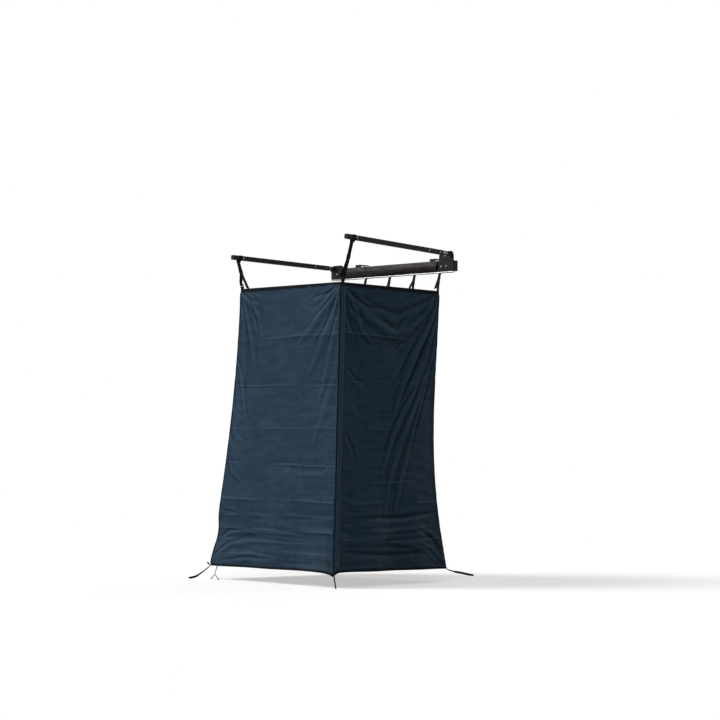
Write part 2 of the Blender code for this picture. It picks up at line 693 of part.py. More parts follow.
def make_hanging_strap(label, side, pivot_y, arm_z, rise_deg):
    """The loop on the arm, the adjuster, the lower strap with its tail, and the wire ring."""
    top = strap_anchor(side, pivot_y, arm_z, rise_deg)
    bar = ring_lower_bar(side)
    down = Vector((bar.x - top.x, 0, bar.z - top.z)).normalized()
    ring = bar - down * RING_HEIGHT / 2
    out = Vector((-down.z, 0, down.x)) * side
    if out.x * side < 0:
        out = -out
    middle = top + (ring - top) * ADJUSTER_SHARE

    def place(normal, along, y):
        """A point beside the line from arm to ring, along it from the adjuster's middle."""
        base = Vector((middle.x, y, middle.z))
        return base + out * normal + down * along

    bar = ADJUSTER_BAR
    pitch = bar + ADJUSTER_SLOT
    frame_half = pitch + bar / 2
    off = ADJUSTER_DEPTH / 2 + GAP + STRAP_THICKNESS / 2

    corners = [
        place(-ADJUSTER_DEPTH / 2, -frame_half, 0),
        place(ADJUSTER_DEPTH / 2, -frame_half, 0),
        place(ADJUSTER_DEPTH / 2, frame_half, 0),
        place(-ADJUSTER_DEPTH / 2, frame_half, 0),
    ]
    for corner in corners:
        corner.y = middle.y - ADJUSTER_WIDTH / 2
    frame = prism_shape(corners, (0, ADJUSTER_WIDTH, 0))
    adjuster = add_mesh(f"{label}_adjuster", frame, BLACK_PLASTIC)
    slot_half = ADJUSTER_WIDTH / 2 - ADJUSTER_RAIL
    for middle_of_slot in (-pitch / 2, pitch / 2):
        window = [
            place(n * ADJUSTER_DEPTH, middle_of_slot + s * ADJUSTER_SLOT / 2, 0)
            for n, s in ((-1, -1), (1, -1), (1, 1), (-1, 1))
        ]
        for corner in window:
            corner.y = middle.y - slot_half
        cut(adjuster, prism_shape(window, (0, 2 * slot_half, 0)))

    # The doubled loop goes round the arm and round the adjuster's upper bar
    play = STRAP_WIDTH / 2 * math.sin(math.radians(rise_deg)) + GAP * 2 + STRAP_THICKNESS / 2
    reach_w = ARM_WIDTH / 2 + play
    reach_h = ARM_HEIGHT / 2 + play
    fold = bar / 2 + GAP + STRAP_THICKNESS / 2
    around = [
        (-reach_w, reach_h - WRAP_CORNER),
        (-reach_w + WRAP_CORNER, reach_h),
        (reach_w - WRAP_CORNER, reach_h),
        (reach_w, reach_h - WRAP_CORNER),
        (reach_w, -reach_h + WRAP_CORNER),
        (reach_w - WRAP_CORNER, -reach_h),
    ]
    loop = [top + Vector((x * side, 0, z)) for x, z in around]
    for normal, along in (
        (off, fold - WRAP_CORNER),
        (off - WRAP_CORNER, fold),
        (-off + WRAP_CORNER, fold),
        (-off, fold - WRAP_CORNER),
    ):
        loop.append(place(normal, along - pitch, middle.y))
    ribbon(f"{label}_strap_loop", loop, (0, 1, 0), STRAP_WIDTH, STRAP_THICKNESS, WEBBING, closed=True)

    # The lower strap: up outside the lower bar, over the middle bar, and down inside as a free tail
    ring_bar = Vector((ring.x, ring.y, ring.z)) - down * (RING_HEIGHT / 2)
    wire = RING_WIRE / 2 + GAP * 2 + STRAP_THICKNESS / 2
    small = [ring_bar + out * n + down * d for n, d in arc_points((0, 0), wire, 0, 180, 6)]
    leave = ring_bar + out * wire - down * 0.013
    close = ring_bar - out * wire - down * 0.006
    lower = [close, *reversed(small), leave]
    straight = [
        place(off, pitch + bar / 2 + 0.006, middle.y),
        place(off, WRAP_CORNER - fold, middle.y),
        place(off - WRAP_CORNER, -fold, middle.y),
        place(WRAP_CORNER - off, -fold, middle.y),
        place(-off, WRAP_CORNER - fold, middle.y),
        place(-off, pitch + bar / 2, middle.y),
    ]
    rest = TAIL_LENGTH - 2 * pitch
    tail = []
    for share, lean in ((0.25, 0.18), (0.62, 0.62), (1.0, 1.0)):
        along = pitch + bar / 2 + rest * share
        tail.append(place(-off - TAIL_LEAN * lean, along, middle.y))
    lower = lower + straight + tail
    ribbon(f"{label}_drop_strap", lower, (0, 1, 0), STRAP_WIDTH, STRAP_THICKNESS, WEBBING)
    make_wire_ring(f"{label}_ring", ring, down)
    return ring, down, out


def make_wire_ring(name, centre, down):
    """A rectangular ring of steel wire with rounded corners."""
    half_y, half_s, corner = RING_BAR_LENGTH / 2, RING_HEIGHT / 2, 0.004
    outline = []
    for cy, cs, start in (
        (half_y - corner, half_s - corner, 0),
        (-half_y + corner, half_s - corner, 90),
        (-half_y + corner, -half_s + corner, 180),
        (half_y - corner, -half_s + corner, 270),
    ):
        outline += arc_points((cy, cs), corner, start, start + 90, 4)
    data = bpy.data.curves.new(name, "CURVE")
    data.dimensions = "3D"
    data.bevel_depth = RING_WIRE / 2
    data.bevel_resolution = 1
    data.resolution_u = 1
    line = data.splines.new("POLY")
    line.points.add(len(outline) - 1)
    for point, (y, s) in zip(line.points, outline):
        spot = centre + Vector((0, y, 0)) + down * s
        point.co = (*spot, 1.0)
    line.use_cyclic_u = True
    add_object(name, data, STEEL)


def make_corner_tab(name, side, ring, down):
    """Webbing sewn to the side wall's top corner, round the ring's lower bar."""
    bar = ring + down * (RING_HEIGHT / 2)
    wire = RING_WIRE / 2 + GAP * 2 + STRAP_THICKNESS / 2
    over = [
        Vector((bar.x + side * x, bar.y, bar.z + z)) for x, z in arc_points((0, 0), wire, 0, 180, 6)
    ]
    inner_x = side * (ROOM_TOP_HALF_X + HEM_THICKNESS / 2 + GAP + STRAP_THICKNESS / 2)
    outer_x = inner_x + side * (STRAP_THICKNESS + GAP)
    bottom = ROOM_TOP_Z - TAB_LENGTH
    waist = bar.z - 0.006
    path = [Vector((outer_x, ring.y, bottom)), Vector((outer_x, ring.y, waist))]
    path += over
    path += [Vector((inner_x, ring.y, waist)), Vector((inner_x, ring.y, bottom))]
    ribbon(name, path, (0, 1, 0), STRAP_WIDTH, STRAP_THICKNESS, WEBBING)


# Cloth room


def corner_edge(name, v):
    """A corner of the room at the share v of its height, from top to bottom."""
    sign_x, y, flare, power = {
        "near": (1, ROOM_TOP_OUT_Y, NEAR_FLARE, 1.0),
        "front": (-1, ROOM_TOP_OUT_Y, FRONT_FLARE, FLARE_POWER),
        "inner": (-1, ROOM_TOP_IN_Y, INNER_FLARE, FLARE_POWER),
        "rear": (1, ROOM_TOP_IN_Y, REAR_FLARE, FLARE_POWER),
    }[name]
    spread = v**power
    if name == "front":
        spread -= FRONT_TUCK * math.exp(-(((v - FRONT_TUCK_AT) / FRONT_TUCK_SPREAD) ** 2))
    bow = math.sin(math.pi * v**BOW_POWER) if name == "rear" else 0.0
    drop = NEAR_TIP_DROP * v if name == "near" else 0.0
    return Vector(
        (
            sign_x * ROOM_TOP_HALF_X + flare[0] * spread + REAR_BOW[0] * bow,
            y + flare[1] * spread + REAR_BOW[1] * bow,
            ROOM_TOP_Z + (ROOM_BOTTOM_Z - ROOM_TOP_Z - drop) * v,
        )
    )


WALLS = {
    "outer_wall": ("near", "front"),
    "front_wall": ("front", "inner"),
    "back_wall": ("inner", "rear"),
    "rear_wall": ("rear", "near"),
}


def ramp(value, low, high):
    share = min(max((value - low) / (high - low), 0.0), 1.0)
    return share * share * (3 - 2 * share)


def fold_height(u, v, fold):
    """One soft ridge between two points of the wall, faded at its ends."""
    (start_u, start_v), (end_u, end_v), height = fold
    width = 2 * ROOM_TOP_HALF_X
    start = Vector((start_u * width, start_v * ROOM_HEIGHT))
    along = Vector((end_u * width, end_v * ROOM_HEIGHT)) - start
    here = Vector((u * width, v * ROOM_HEIGHT)) - start
    share = min(max(here.dot(along) / along.length_squared, 0.0), 1.0)
    aside = (here - along * share).length
    fade = math.sin(math.pi * (0.12 + 0.76 * share))
    return height * fade * math.exp(-((aside / FOLD_HALF_WIDTH) ** 2))


def fold_depth(name, u, v):
    """How far the cloth stands out from the flat wall at u across and v down."""
    number = list(WALLS).index(name)
    far_hold = ZIP_HOLD if name == "rear_wall" else (0, EDGE_HOLD)
    hold = ramp(u, 0, EDGE_HOLD) * ramp(1 - u, *far_hold) * ramp(v, 0, 0.04)
    depth = BILLOW * math.sin(math.pi * u) * math.sin(math.pi * v) ** 0.8
    for fold in REAR_FOLDS if name == "rear_wall" else TOP_FANS:
        depth += fold_height(u, v, fold)
    depth += FLUTE * ramp(v, 0.6, 1.0) * math.sin(2 * math.pi * (2.5 * u + 0.2 * number))
    for number, drop in enumerate(CREASE_DROPS):
        slope = abs(v * ROOM_HEIGHT - drop) / CREASE_SPREAD
        depth += CREASE * max(0.0, 1 - slope) * (-1) ** number
    return hold * depth


def bottom_rise(name, u, v):
    """How far the lower edge stands above a straight line between its corners."""
    share = ramp(v, *BOTTOM_RISE_FROM)
    if name not in ("outer_wall", "rear_wall"):
        return BOTTOM_ARCH * math.sin(math.pi * u) * share
    from_near = u if name == "outer_wall" else 1 - u
    return NEAR_TIP_RISE * (1 - math.exp(-from_near / NEAR_TIP_SPREAD)) * (1 - from_near) * share


def wall_point(name, u, v):
    start_name, end_name = WALLS[name]
    start, end = corner_edge(start_name, v), corner_edge(end_name, v)
    flat = start.lerp(end, u)
    along = end - start
    outward = Vector((along.y, -along.x, 0)).normalized()
    centre = Vector((0, (ROOM_TOP_OUT_Y + ROOM_TOP_IN_Y) / 2, flat.z))
    if outward.dot(flat - centre) < 0:
        outward = -outward
    flat.z += bottom_rise(name, u, v)
    share = -0.35 if name == "back_wall" else 1.0
    return flat + outward * fold_depth(name, u, v) * share


def wall_rows():
    """The shares of the room's height at which the walls have their rows."""
    first = (TOP_HEM_HEIGHT + GAP) / ROOM_HEIGHT
    last = 1 - (BOTTOM_HEM_HEIGHT + GAP) / ROOM_HEIGHT
    return [first + (last - first) * i / WALL_ROWS for i in range(WALL_ROWS + 1)]


def make_wall(name):
    start_name, end_name = WALLS[name]
    edge = BINDING_SIZE / 2 + GAP
    rows = wall_rows()
    shape = bmesh.new()
    bmesh.ops.create_grid(shape, x_segments=WALL_COLUMNS, y_segments=WALL_ROWS, size=0.5)
    for vert in shape.verts:
        across, down = vert.co.x + 0.5, 0.5 - vert.co.y
        v = rows[round(down * WALL_ROWS)]
        width = (corner_edge(end_name, v) - corner_edge(start_name, v)).length
        margin = edge / width
        vert.co = wall_point(name, margin + (1 - 2 * margin) * across, v)
    wall = add_mesh(name, shape, CLOTH, smooth=True)
    thicken(wall, CLOTH_THICKNESS)


def room_ring(v, steps, corner):
    """Points right round the room at one height, with cut corners."""
    points = []
    for name, (start_name, end_name) in WALLS.items():
        width = (corner_edge(end_name, v) - corner_edge(start_name, v)).length
        margin = corner / width
        for i in range(steps + 1):
            points.append(wall_point(name, margin + (1 - 2 * margin) * i / steps, v))
    return points


def make_top_hem():
    points = room_ring(0.0, 1, BINDING_SIZE / 2)
    for point in points:
        point.z = ROOM_TOP_Z - TOP_HEM_HEIGHT / 2
    ribbon("top_hem", points, (0, 0, 1), TOP_HEM_HEIGHT, HEM_THICKNESS, HEM_TAPE, closed=True)


def make_bottom_hem():
    height = ROOM_HEIGHT
    points = room_ring(1 - BOTTOM_HEM_HEIGHT / 2 / height, WALL_COLUMNS, BINDING_SIZE / 2 + GAP)
    ribbon("bottom_hem", points, (0, 0, 1), BOTTOM_HEM_HEIGHT, HEM_THICKNESS, HEM_TAPE, closed=True)


def make_binding(name, corner):
    """A strip along one corner seam."""
    rows = wall_rows()
    rows[0] += GAP / ROOM_HEIGHT
    rows[-1] = 1 - BINDING_ABOVE_EDGE / ROOM_HEIGHT
    points = [corner_edge(corner, v) for v in rows]
    sign_x = 1 if corner in ("near", "rear") else -1
    sign_y = -1 if corner in ("near", "front") else 1
    across = Vector((sign_x, -sign_y, 0))
    ribbon(name, points, across, BINDING_SIZE * 0.62, BINDING_SIZE * 0.62, HEM_TAPE)


# Zip


def zip_frame():
    """The zip's top, bottom and outward direction, on the rear wall beside the near corner."""
    height = ROOM_HEIGHT
    top_v = (TOP_HEM_HEIGHT + ZIP_BELOW_HEM) / height
    bottom_v = 1 - (BOTTOM_HEM_HEIGHT + ZIP_ABOVE_HEM) / height
    ends = []
    along = Vector()
    for v in (top_v, bottom_v):
        near, rear = corner_edge("near", v), corner_edge("rear", v)
        toward = (rear - near).normalized()
        ends.append(near + toward * ZIP_FROM_CORNER)
        along += toward
    along.normalize()
    outward = Vector((along.y, -along.x, 0)).normalized()
    if outward.x < 0:
        outward = -outward
    return ends[0], ends[1], along, outward


def make_zip():
    top, bottom, along, outward = zip_frame()
    off = CLOTH_THICKNESS / 2 + ZIP_TAPE_THICKNESS / 2 + ZIP_OFF_WALL
    line = [top + outward * off, bottom + outward * off]
    ribbon("zip_tape", line, along, ZIP_TAPE_WIDTH, ZIP_TAPE_THICKNESS, HEM_TAPE)
    down = (bottom - top).normalized()
    face = top + (bottom - top) * ZIP_SLIDER_REST + outward * (off + ZIP_TAPE_THICKNESS / 2 + GAP)
    across = along * ZIP_SLIDER_WIDTH / 2
    length = down * ZIP_SLIDER_LENGTH / 2
    narrow = across * ZIP_SLIDER_TAPER
    outline = [face - narrow + length, face + narrow + length, face + across - length, face - across - length]
    slider = add_mesh("zip_slider", prism_shape(outline, outward * ZIP_SLIDER_DEPTH), STEEL)
    root = face + outward * (ZIP_SLIDER_DEPTH - ZIP_PULL_THICKNESS / 2) - length * 0.4
    end = root + down * ZIP_PULL_LENGTH
    half = along * ZIP_PULL_WIDTH / 2
    pull = [root - half, root + half, end + half, end - half]
    join(slider, prism_shape(pull, outward * ZIP_PULL_THICKNESS))
    line = bpy.data.objects.new("zip_line", None)
    line.location = face
    bpy.context.scene.collection.objects.link(line)
    carry(line, ["zip_slider"])


# Straps on the rail and ties to the ground


def make_rail_strap(name, x):
    """A strap folded over a bead in the track, with a free tail and a leg sewn to the top hem."""
    y, z = track_centre()
    facing = math.radians(TRACK_SLOT_FACING_DEG)
    ahead = Vector((0, math.cos(facing), math.sin(facing)))
    aside = Vector((0, -math.sin(facing), math.cos(facing)))
    if aside.y > 0:
        aside = -aside
    centre = Vector((x, y, z))

    def spot(forward, outward):
        return centre + ahead * forward + aside * outward

    clear = TRACK_TUBE_RADIUS + RAIL_STRAP_THICKNESS * 2
    bead = [spot(f, o) for f, o in arc_points((0, 0), BEAD_RADIUS, 30, 330, 10)]
    hem_y = ROOM_TOP_IN_Y + HEM_THICKNESS / 2 + GAP + RAIL_STRAP_THICKNESS / 2
    out, drop = RAIL_STRAP_TAIL_OUT, ROOM_BELOW_RAIL
    tail = [
        Vector((x, y - out, ROOM_TOP_Z + drop * 0.11)),
        Vector((x, y - out * 0.72, ROOM_TOP_Z + drop * 0.36)),
        Vector((x, y - out * 0.36, ROOM_TOP_Z + drop * 0.62)),
        spot(clear + drop * 0.05, BEAD_NECK * 2),
    ]
    leg = [
        spot(clear + drop * 0.05, -BEAD_NECK),
        Vector((x, hem_y + RAIL_STRAP_THICKNESS, ROOM_TOP_Z + drop * 0.25)),
        Vector((x, hem_y, ROOM_TOP_Z + drop * 0.04)),
        Vector((x, hem_y, ROOM_TOP_Z - TOP_HEM_HEIGHT)),
    ]
    neck = TRACK_BORE_RADIUS
    points = tail + [spot(clear, BEAD_NECK), spot(neck, BEAD_NECK), *bead]
    points += [spot(neck, -BEAD_NECK), spot(clear, -BEAD_NECK), *leg]
    ribbon(name, points, (1, 0, 0), RAIL_STRAP_WIDTH, RAIL_STRAP_THICKNESS, WEBBING)


def make_ground_tie(corner, route, across):
    """A tie on a bottom corner. The route holds offsets from that corner."""
    start = corner_edge(corner, 1.0)
    points = [start + Vector(offset) for offset in route]
    for point in points:
        point.z = max(point.z, ROOM_BOTTOM_Z - GROUND_BELOW_ROOM + TIE_THICKNESS)
    name = f"ground_tie_{corner}"
    ribbon(name, smooth_route(points, TIE_STEP), across, TIE_WIDTH, TIE_THICKNESS, WEBBING)


def carry(pivot, names):
    """Parents pieces to a pivot and leaves them where they stand."""
    for name in names:
        piece = bpy.data.objects[name]
        piece.parent = pivot
        piece.matrix_local = Matrix.Translation(-pivot.location)


def main():
    clear_scene()
    make_rail()
    make_rail_cap("rail_cap_front", -1)
    make_rail_cap("rail_cap_rear", 1)
    make_track()
    make_cover()
    for label, x in (("front", -RACK_BRACKET_X), ("rear", RACK_BRACKET_X)):
        make_rack_bracket(f"rack_bracket_{label}", x)
        head = (x, RACK_BRACKET_PLATE + 2 * GAP, 0)
        grip = RACK_BRACKET_PLATE + RAIL_WALL + 3 * GAP
        bolt = f"rack_bolt_{label}"
        make_through_bolt(bolt, head, (0, -1, 0), grip, RAIL_BOLT_RADIUS, RAIL_BOLT_HEAD_RADIUS)
    sides = (
        ("front", -1, FRONT_PIVOT_Y, FRONT_ARM_Z, FRONT_ARM_RISE_DEG),
        ("rear", 1, REAR_PIVOT_Y, REAR_ARM_Z, REAR_ARM_RISE_DEG),
    )
    for label, side, pivot_y, arm_z, rise in sides:
        make_hinge_bracket(f"hinge_bracket_{label}", side, pivot_y, arm_z)
        for number, x in enumerate(hinge_bolt_places(side), 1):
            head = (x, HINGE_OUTER_Y - GAP, 0)
            grip = HINGE_PLATE + RAIL_WALL + 3 * GAP
            bolt = f"hinge_bolt_{label}_{number}"
            make_through_bolt(bolt, head, (0, 1, 0), grip, RAIL_BOLT_RADIUS, RAIL_BOLT_HEAD_RADIUS)
        make_pivot_bolt(f"pivot_bolt_{label}", side, pivot_y, arm_z)
        make_arm(f"{label}_arm", side, pivot_y, arm_z, rise)
        ring, down, _ = make_hanging_strap(label, side, pivot_y, arm_z, rise)
        make_corner_tab(f"corner_tab_{label}", side, ring, down)
    for name in WALLS:
        make_wall(name)
    make_top_hem()
    make_bottom_hem()
    for corner in ("near", "front", "inner", "rear"):
        make_binding(f"corner_binding_{corner}", corner)
    make_zip()
    for corner, route in TIE_ROUTES.items():
        start = corner_edge(corner, 1.0)
        away = Vector((start.x, start.y - (ROOM_TOP_OUT_Y + ROOM_TOP_IN_Y) / 2, 0))
        make_ground_tie(corner, route, (math.copysign(1, away.y), -math.copysign(1, away.x), 0))
    span = 2 * (ROOM_TOP_HALF_X - RAIL_STRAP_FROM_CORNER)
    for number in range(RAIL_STRAPS):
        x = span * (number / (RAIL_STRAPS - 1) - 0.5)
        make_rail_strap(f"rail_strap_{number + 1}", x)
    for label in ("front", "rear"):
        hangers = [f"{label}_{piece}" for piece in ("strap_loop", "adjuster", "drop_strap", "ring")]
        carry(bpy.data.objects[f"{label}_arm_pivot"], hangers)


main()
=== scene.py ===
"""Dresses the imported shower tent: hung cloth, webbing, zip, rail cover and finishes.

Metres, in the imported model's own frame: X runs along the rail, -Y points away from the roof rack and
+Z is up. Cloth and straps carry a UV map in metres, so that their weave lies along them.
"""

import math

import bmesh
import bpy
import numpy as np
from mathutils import Matrix, Vector


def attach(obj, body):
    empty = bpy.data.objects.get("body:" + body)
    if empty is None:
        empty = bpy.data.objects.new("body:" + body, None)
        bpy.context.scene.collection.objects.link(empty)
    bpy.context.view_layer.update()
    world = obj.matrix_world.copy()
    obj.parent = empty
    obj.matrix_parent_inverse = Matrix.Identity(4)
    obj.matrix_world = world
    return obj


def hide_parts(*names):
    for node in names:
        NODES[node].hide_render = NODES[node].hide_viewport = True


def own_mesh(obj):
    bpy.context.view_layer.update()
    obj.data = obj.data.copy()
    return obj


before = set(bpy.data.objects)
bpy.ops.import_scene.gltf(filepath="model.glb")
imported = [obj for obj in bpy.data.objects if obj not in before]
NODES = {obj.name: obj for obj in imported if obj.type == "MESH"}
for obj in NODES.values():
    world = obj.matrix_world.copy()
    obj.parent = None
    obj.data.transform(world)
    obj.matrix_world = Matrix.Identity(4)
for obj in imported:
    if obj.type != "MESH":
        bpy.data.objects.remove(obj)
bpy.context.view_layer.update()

UV = "metres"
GAP = 0.0003

# Rail, its track and its cover
RAIL_DEPTH = 0.034
HALF_HEIGHT = 0.035
TRACK = Vector((0, -0.036, -0.0414))
TRACK_FACING = math.radians(235)
TRACK_RADIUS = 0.0055
COVER_HALF = 0.425
COVER_THICKNESS = 0.0016
COVER_OFF = 0.001 + GAP * 3
COVER_BULGE = 0.009
COVER_ROWS = (0.004, 0.010)
PIPING = 0.0036

# Arms and hanging straps: an arm's side, pivot and rise in degrees
ARMS = {"front": (-1, -0.060, 0.040, 0.6), "rear": (1, -0.100, 0.078, 2.2)}
PIVOT_X = 0.555
ARM_HALF = (0.0125, 0.015)
STRAP_ON_ARM = 0.850
STRAP_WIDTH = 0.025
STRAP_THICKNESS = 0.0016
STRAP_STEP = 0.006
FINE_STEP = 0.004
ADJUSTER_BAR = 0.004
ADJUSTER_PITCH = 0.0125
ADJUSTER_DEPTH = 0.0032
ADJUSTER_SHARE = 0.47
ADJUSTER_SLACK = 0.0016
LOOP_WAIST = 0.036
TAIL_LENGTH = 0.145
TAIL_LEAN = 0.022
TAIL_CURVE = ((0.0, 0.0), (0.25, 0.18), (0.62, 0.62), (1.0, 1.0))
RING_HEIGHT = 0.022
RING_WIRE = 0.0032
RING_ABOVE_HEM = 0.009
RING_FROM_CORNER = 0.004
RING_SLACK = 0.0055
TAB_DROP = 0.0235

# Stitches stand this far off what they sew
STITCH_OFF = 0.0002
BOX_STITCH = {"slot": "black_webbing", "pitch": 0.0030, "gauge": 0.0004}

# Straps from the rail: how much each one's free tail leans along the rail
HANGER_LEANS = (0.004, -0.003, 0.006, -0.004, 0.003)
HANGER_FROM_CORNER = 0.012
HANGER_WIDTH = 0.022
HANGER_THICKNESS = 0.0012
HANGER_NECK = 0.00085
HANGER_BEAD = 0.0021
HANGER_OUT = 0.055
HANGER_DROP = 0.130

# Cloth room: a corner's side, place, flare at the ground and how late the flare comes
ROOM_HALF_X = 0.470
ROOM_OUT_Y = -0.970
ROOM_IN_Y = -0.062
ROOM_TOP = -0.165
ROOM_HEIGHT = 1.820
GROUND = -2.073
WALL_SPAN = 2 * ROOM_HALF_X
CORNERS = {
    "near": (1, ROOM_OUT_Y, (0.081, -0.114), 1.0),
    "front": (-1, ROOM_OUT_Y, (-0.124, -0.124), 1.7),
    "inner": (-1, ROOM_IN_Y, (-0.066, 0.026), 1.7),
    "rear": (1, ROOM_IN_Y, (0.066, 0.026), 1.7),
}
WALLS = {
    "outer_wall": ("near", "front"),
    "front_wall": ("front", "inner"),
    "back_wall": ("inner", "rear"),
    "rear_wall": ("rear", "near"),
}
REAR_BOW = (-0.040, -0.034)
BOW_POWER = 1.4
FRONT_TUCK = (0.11, 0.885, 0.055)
NEAR_TIP_DROP = 0.018
NEAR_TIP_RISE = 0.027
NEAR_TIP_SPREAD = {"outer_wall": 0.045, "rear_wall": 0.024}
BOTTOM_ARCH = 0.014
BOTTOM_RISE_FROM = (0.80, 0.98)
BACK_SHARE = -0.35
CLOTH_THICKNESS = 0.0009
CLOTH_CUT = 1.01
CLOTH_IN_HEM = 0.6
CLOTH_SEAM = 0.0023

# Hems and seams
SEAM = 0.0038
TOP_HEM = 0.025
BOTTOM_HEM = 0.016
HEM_THICKNESS = 0.003
HEM_STITCH_INSET = 0.0035
HEM_RIPPLE = 0.0005
BINDING_WIDTH = 0.0085
BINDING_THICKNESS = 0.0034
BINDING_ENDS = (TOP_HEM + 0.001, 0.0168)

# Zip
ZIP_FROM_CORNER = 0.026
ZIP_ENDS = (TOP_HEM + 0.004, BOTTOM_HEM + 0.023)
ZIP_WIDTH = 0.030
ZIP_TAPE = 0.0014
ZIP_OFF_WALL = 0.0012
ZIP_REST = 0.975
WELT_WIDTH = 0.0170
WELT_THICKNESS = 0.0017
WELT_ASIDE = 0.0098
WELT_OFF = 0.0012
WELT_STITCH = 0.0065
TOOTH = (0.0034, 0.0016, 0.0015)
TOOTH_PITCH = 0.0026
TOOTH_ASIDE = 0.0011
TOOTH_OFF = 0.0008
SLIDER_OFF = 0.0006
# Slider blocks: size and middle across, along and off the zip, taper and edge radius
SLIDER_BLOCKS = (
    ((0.0130, 0.0200, 0.0022), (0, 0, 0.0011), 0.70, 0.0012),
    ((0.0120, 0.0180, 0.0016), (0, 0, 0.0044), 0.70, 0.0007),
    ((0.0036, 0.0120, 0.0022), (0, -0.001, 0.0034), 1.0, 0.0008),
    ((0.0070, 0.0300, 0.0020), (0, 0.018, 0.0048), 0.85, 0.0009),
    ((0.0048, 0.0060, 0.0030), (0, 0.0020, 0.0050), 1.0, 0.0010),
)

# Studio: each lamp's direction, strength and angle in degrees, then the camera
LAMPS = {
    "key": ((-0.75, -1.0, 0.95), 3.4, 26),
    "sky": ((0.40, -0.50, 1.0), 0.86, 32),
    "back": ((-0.3, 1.0, 0.7), 0.7, 60),
}
AMBIENT = ((1.0, 0.95, 0.90), 0.12)
WHITE = (1.0, 1.0, 1.0)
FLOOR_SIZE = 60.0
FLOOR_LIT = (0.42, 0.42, 0.42)
FLOOR_SEEN = (0.93, 0.93, 0.93)
FLOOR_FADE = (1.5, 5.0)
FLOOR_MIDDLE_Y = -0.55
CAMERA_PLACE = (9.40, -9.72, -1.218)
CAMERA_PITCH = math.radians(2.58)
CAMERA_ROLL = 0.012
CAMERA_LENS = 100.0
SENSOR_WIDTH = 36.0
FAR_CLIP = 200.0


# Shader maths


class Signal:
    """A shader socket that Python's arithmetic works on. Each step adds a Math node."""

    def __init__(self, owner, socket):
        self.owner = owner
        self.socket = socket

    def math(self, operation, *inputs):
        return self.owner.node("ShaderNodeMath", {"operation": operation}, dict(enumerate(inputs)))

    def __add__(self, other):
        return self.math("ADD", self, other)

    def __sub__(self, other):
        return self.math("SUBTRACT", self, other)

    def __rsub__(self, other):
        return self.math("SUBTRACT", other, self)

    def __mul__(self, other):
        return self.math("MULTIPLY", self, other)

    def __pow__(self, other):
        return self.math("POWER", self, other)

    def __abs__(self):
        return self.math("ABSOLUTE", self)

    __radd__ = __add__
    __rmul__ = __mul__

    def sine(self):
        return self.math("SINE", self)

    def larger(self, other):
        return self.math("MAXIMUM", self, other)


class Nodes:
    """A node tree whose sockets take numbers, colours or signals."""

    def __init__(self, tree):
        self.tree = tree

    def connect(self, target, value):
        if isinstance(value, Signal):
            self.tree.links.new(value.socket, target)
        elif target.type == "RGBA":
            target.default_value = (*value[:3], 1.0)
        else:
            target.default_value = value

    def node(self, kind, settings=None, sockets=None, output=0):
        made = self.tree.nodes.new(kind)
        for key, value in (settings or {}).items():
            setattr(made, key, value)
        for key, value in (sockets or {}).items():
            self.connect(made.inputs[key], value)
        return Signal(self, made.outputs[output])

    def ray(self, kind):
        return self.node("ShaderNodeLightPath", output=f"Is {kind} Ray")

    def blend(self, first, second, share):
        return self.node("ShaderNodeMixShader", {}, {0: share, 1: first, 2: second})


class Finish(Nodes):
    """A material with one Principled shader."""

    def __init__(self, name, colour, roughness, metallic=0.0, gloss=None):
        self.material = bpy.data.materials.new(name)
        self.material.use_nodes = True
        super().__init__(self.material.node_tree)
        self.shader = self.tree.nodes["Principled BSDF"]
        self.feed("Base Color", colour)
        self.feed("Roughness", roughness)
        self.feed("Metallic", metallic)
        if gloss is not None:
            self.feed("Specular IOR Level", gloss)

    def feed(self, socket, value):
        self.connect(self.shader.inputs[socket], value)

    def split(self, vector):
        made = self.node("ShaderNodeSeparateXYZ", {}, {0: vector})
        return [Signal(self, out) for out in made.socket.node.outputs]

    def uv(self):
        return self.node("ShaderNodeUVMap", {"uv_map": UV})

    def spot(self):
        return self.node("ShaderNodeTexCoord", output="Object")

    def scaled(self, vector, size):
        return self.node("ShaderNodeMapping", {}, {"Vector": vector, "Scale": size})

    def noise(self, vector, scale, detail=3.0, roughness=0.5, distortion=0.0):
        sockets = {"Vector": vector, "Scale": scale, "Detail": detail}
        sockets.update({"Roughness": roughness, "Distortion": distortion})
        return self.node("ShaderNodeTexNoise", {}, sockets)

    def clamp(self, value, low, high):
        """Value's stretch from low to high, as 0 to 1."""
        sockets = {"Value": value, "From Min": low, "From Max": high}
        return self.node("ShaderNodeMapRange", {"clamp": True}, sockets)

    def mix(self, first, second, share):
        return self.node("ShaderNodeMix", {"data_type": "RGBA"}, {0: share, 6: first, 7: second}, 2)

    def bump(self, height):
        """Feeds the normal from a height in metres."""
        sockets = {"Strength": 1.0, "Distance": 1.0, "Height": height}
        self.feed("Normal", self.node("ShaderNodeBump", {}, sockets))

    def mask(self, name):
        return self.node("ShaderNodeAttribute", {"attribute_name": name}, output="Fac")


# Finishes


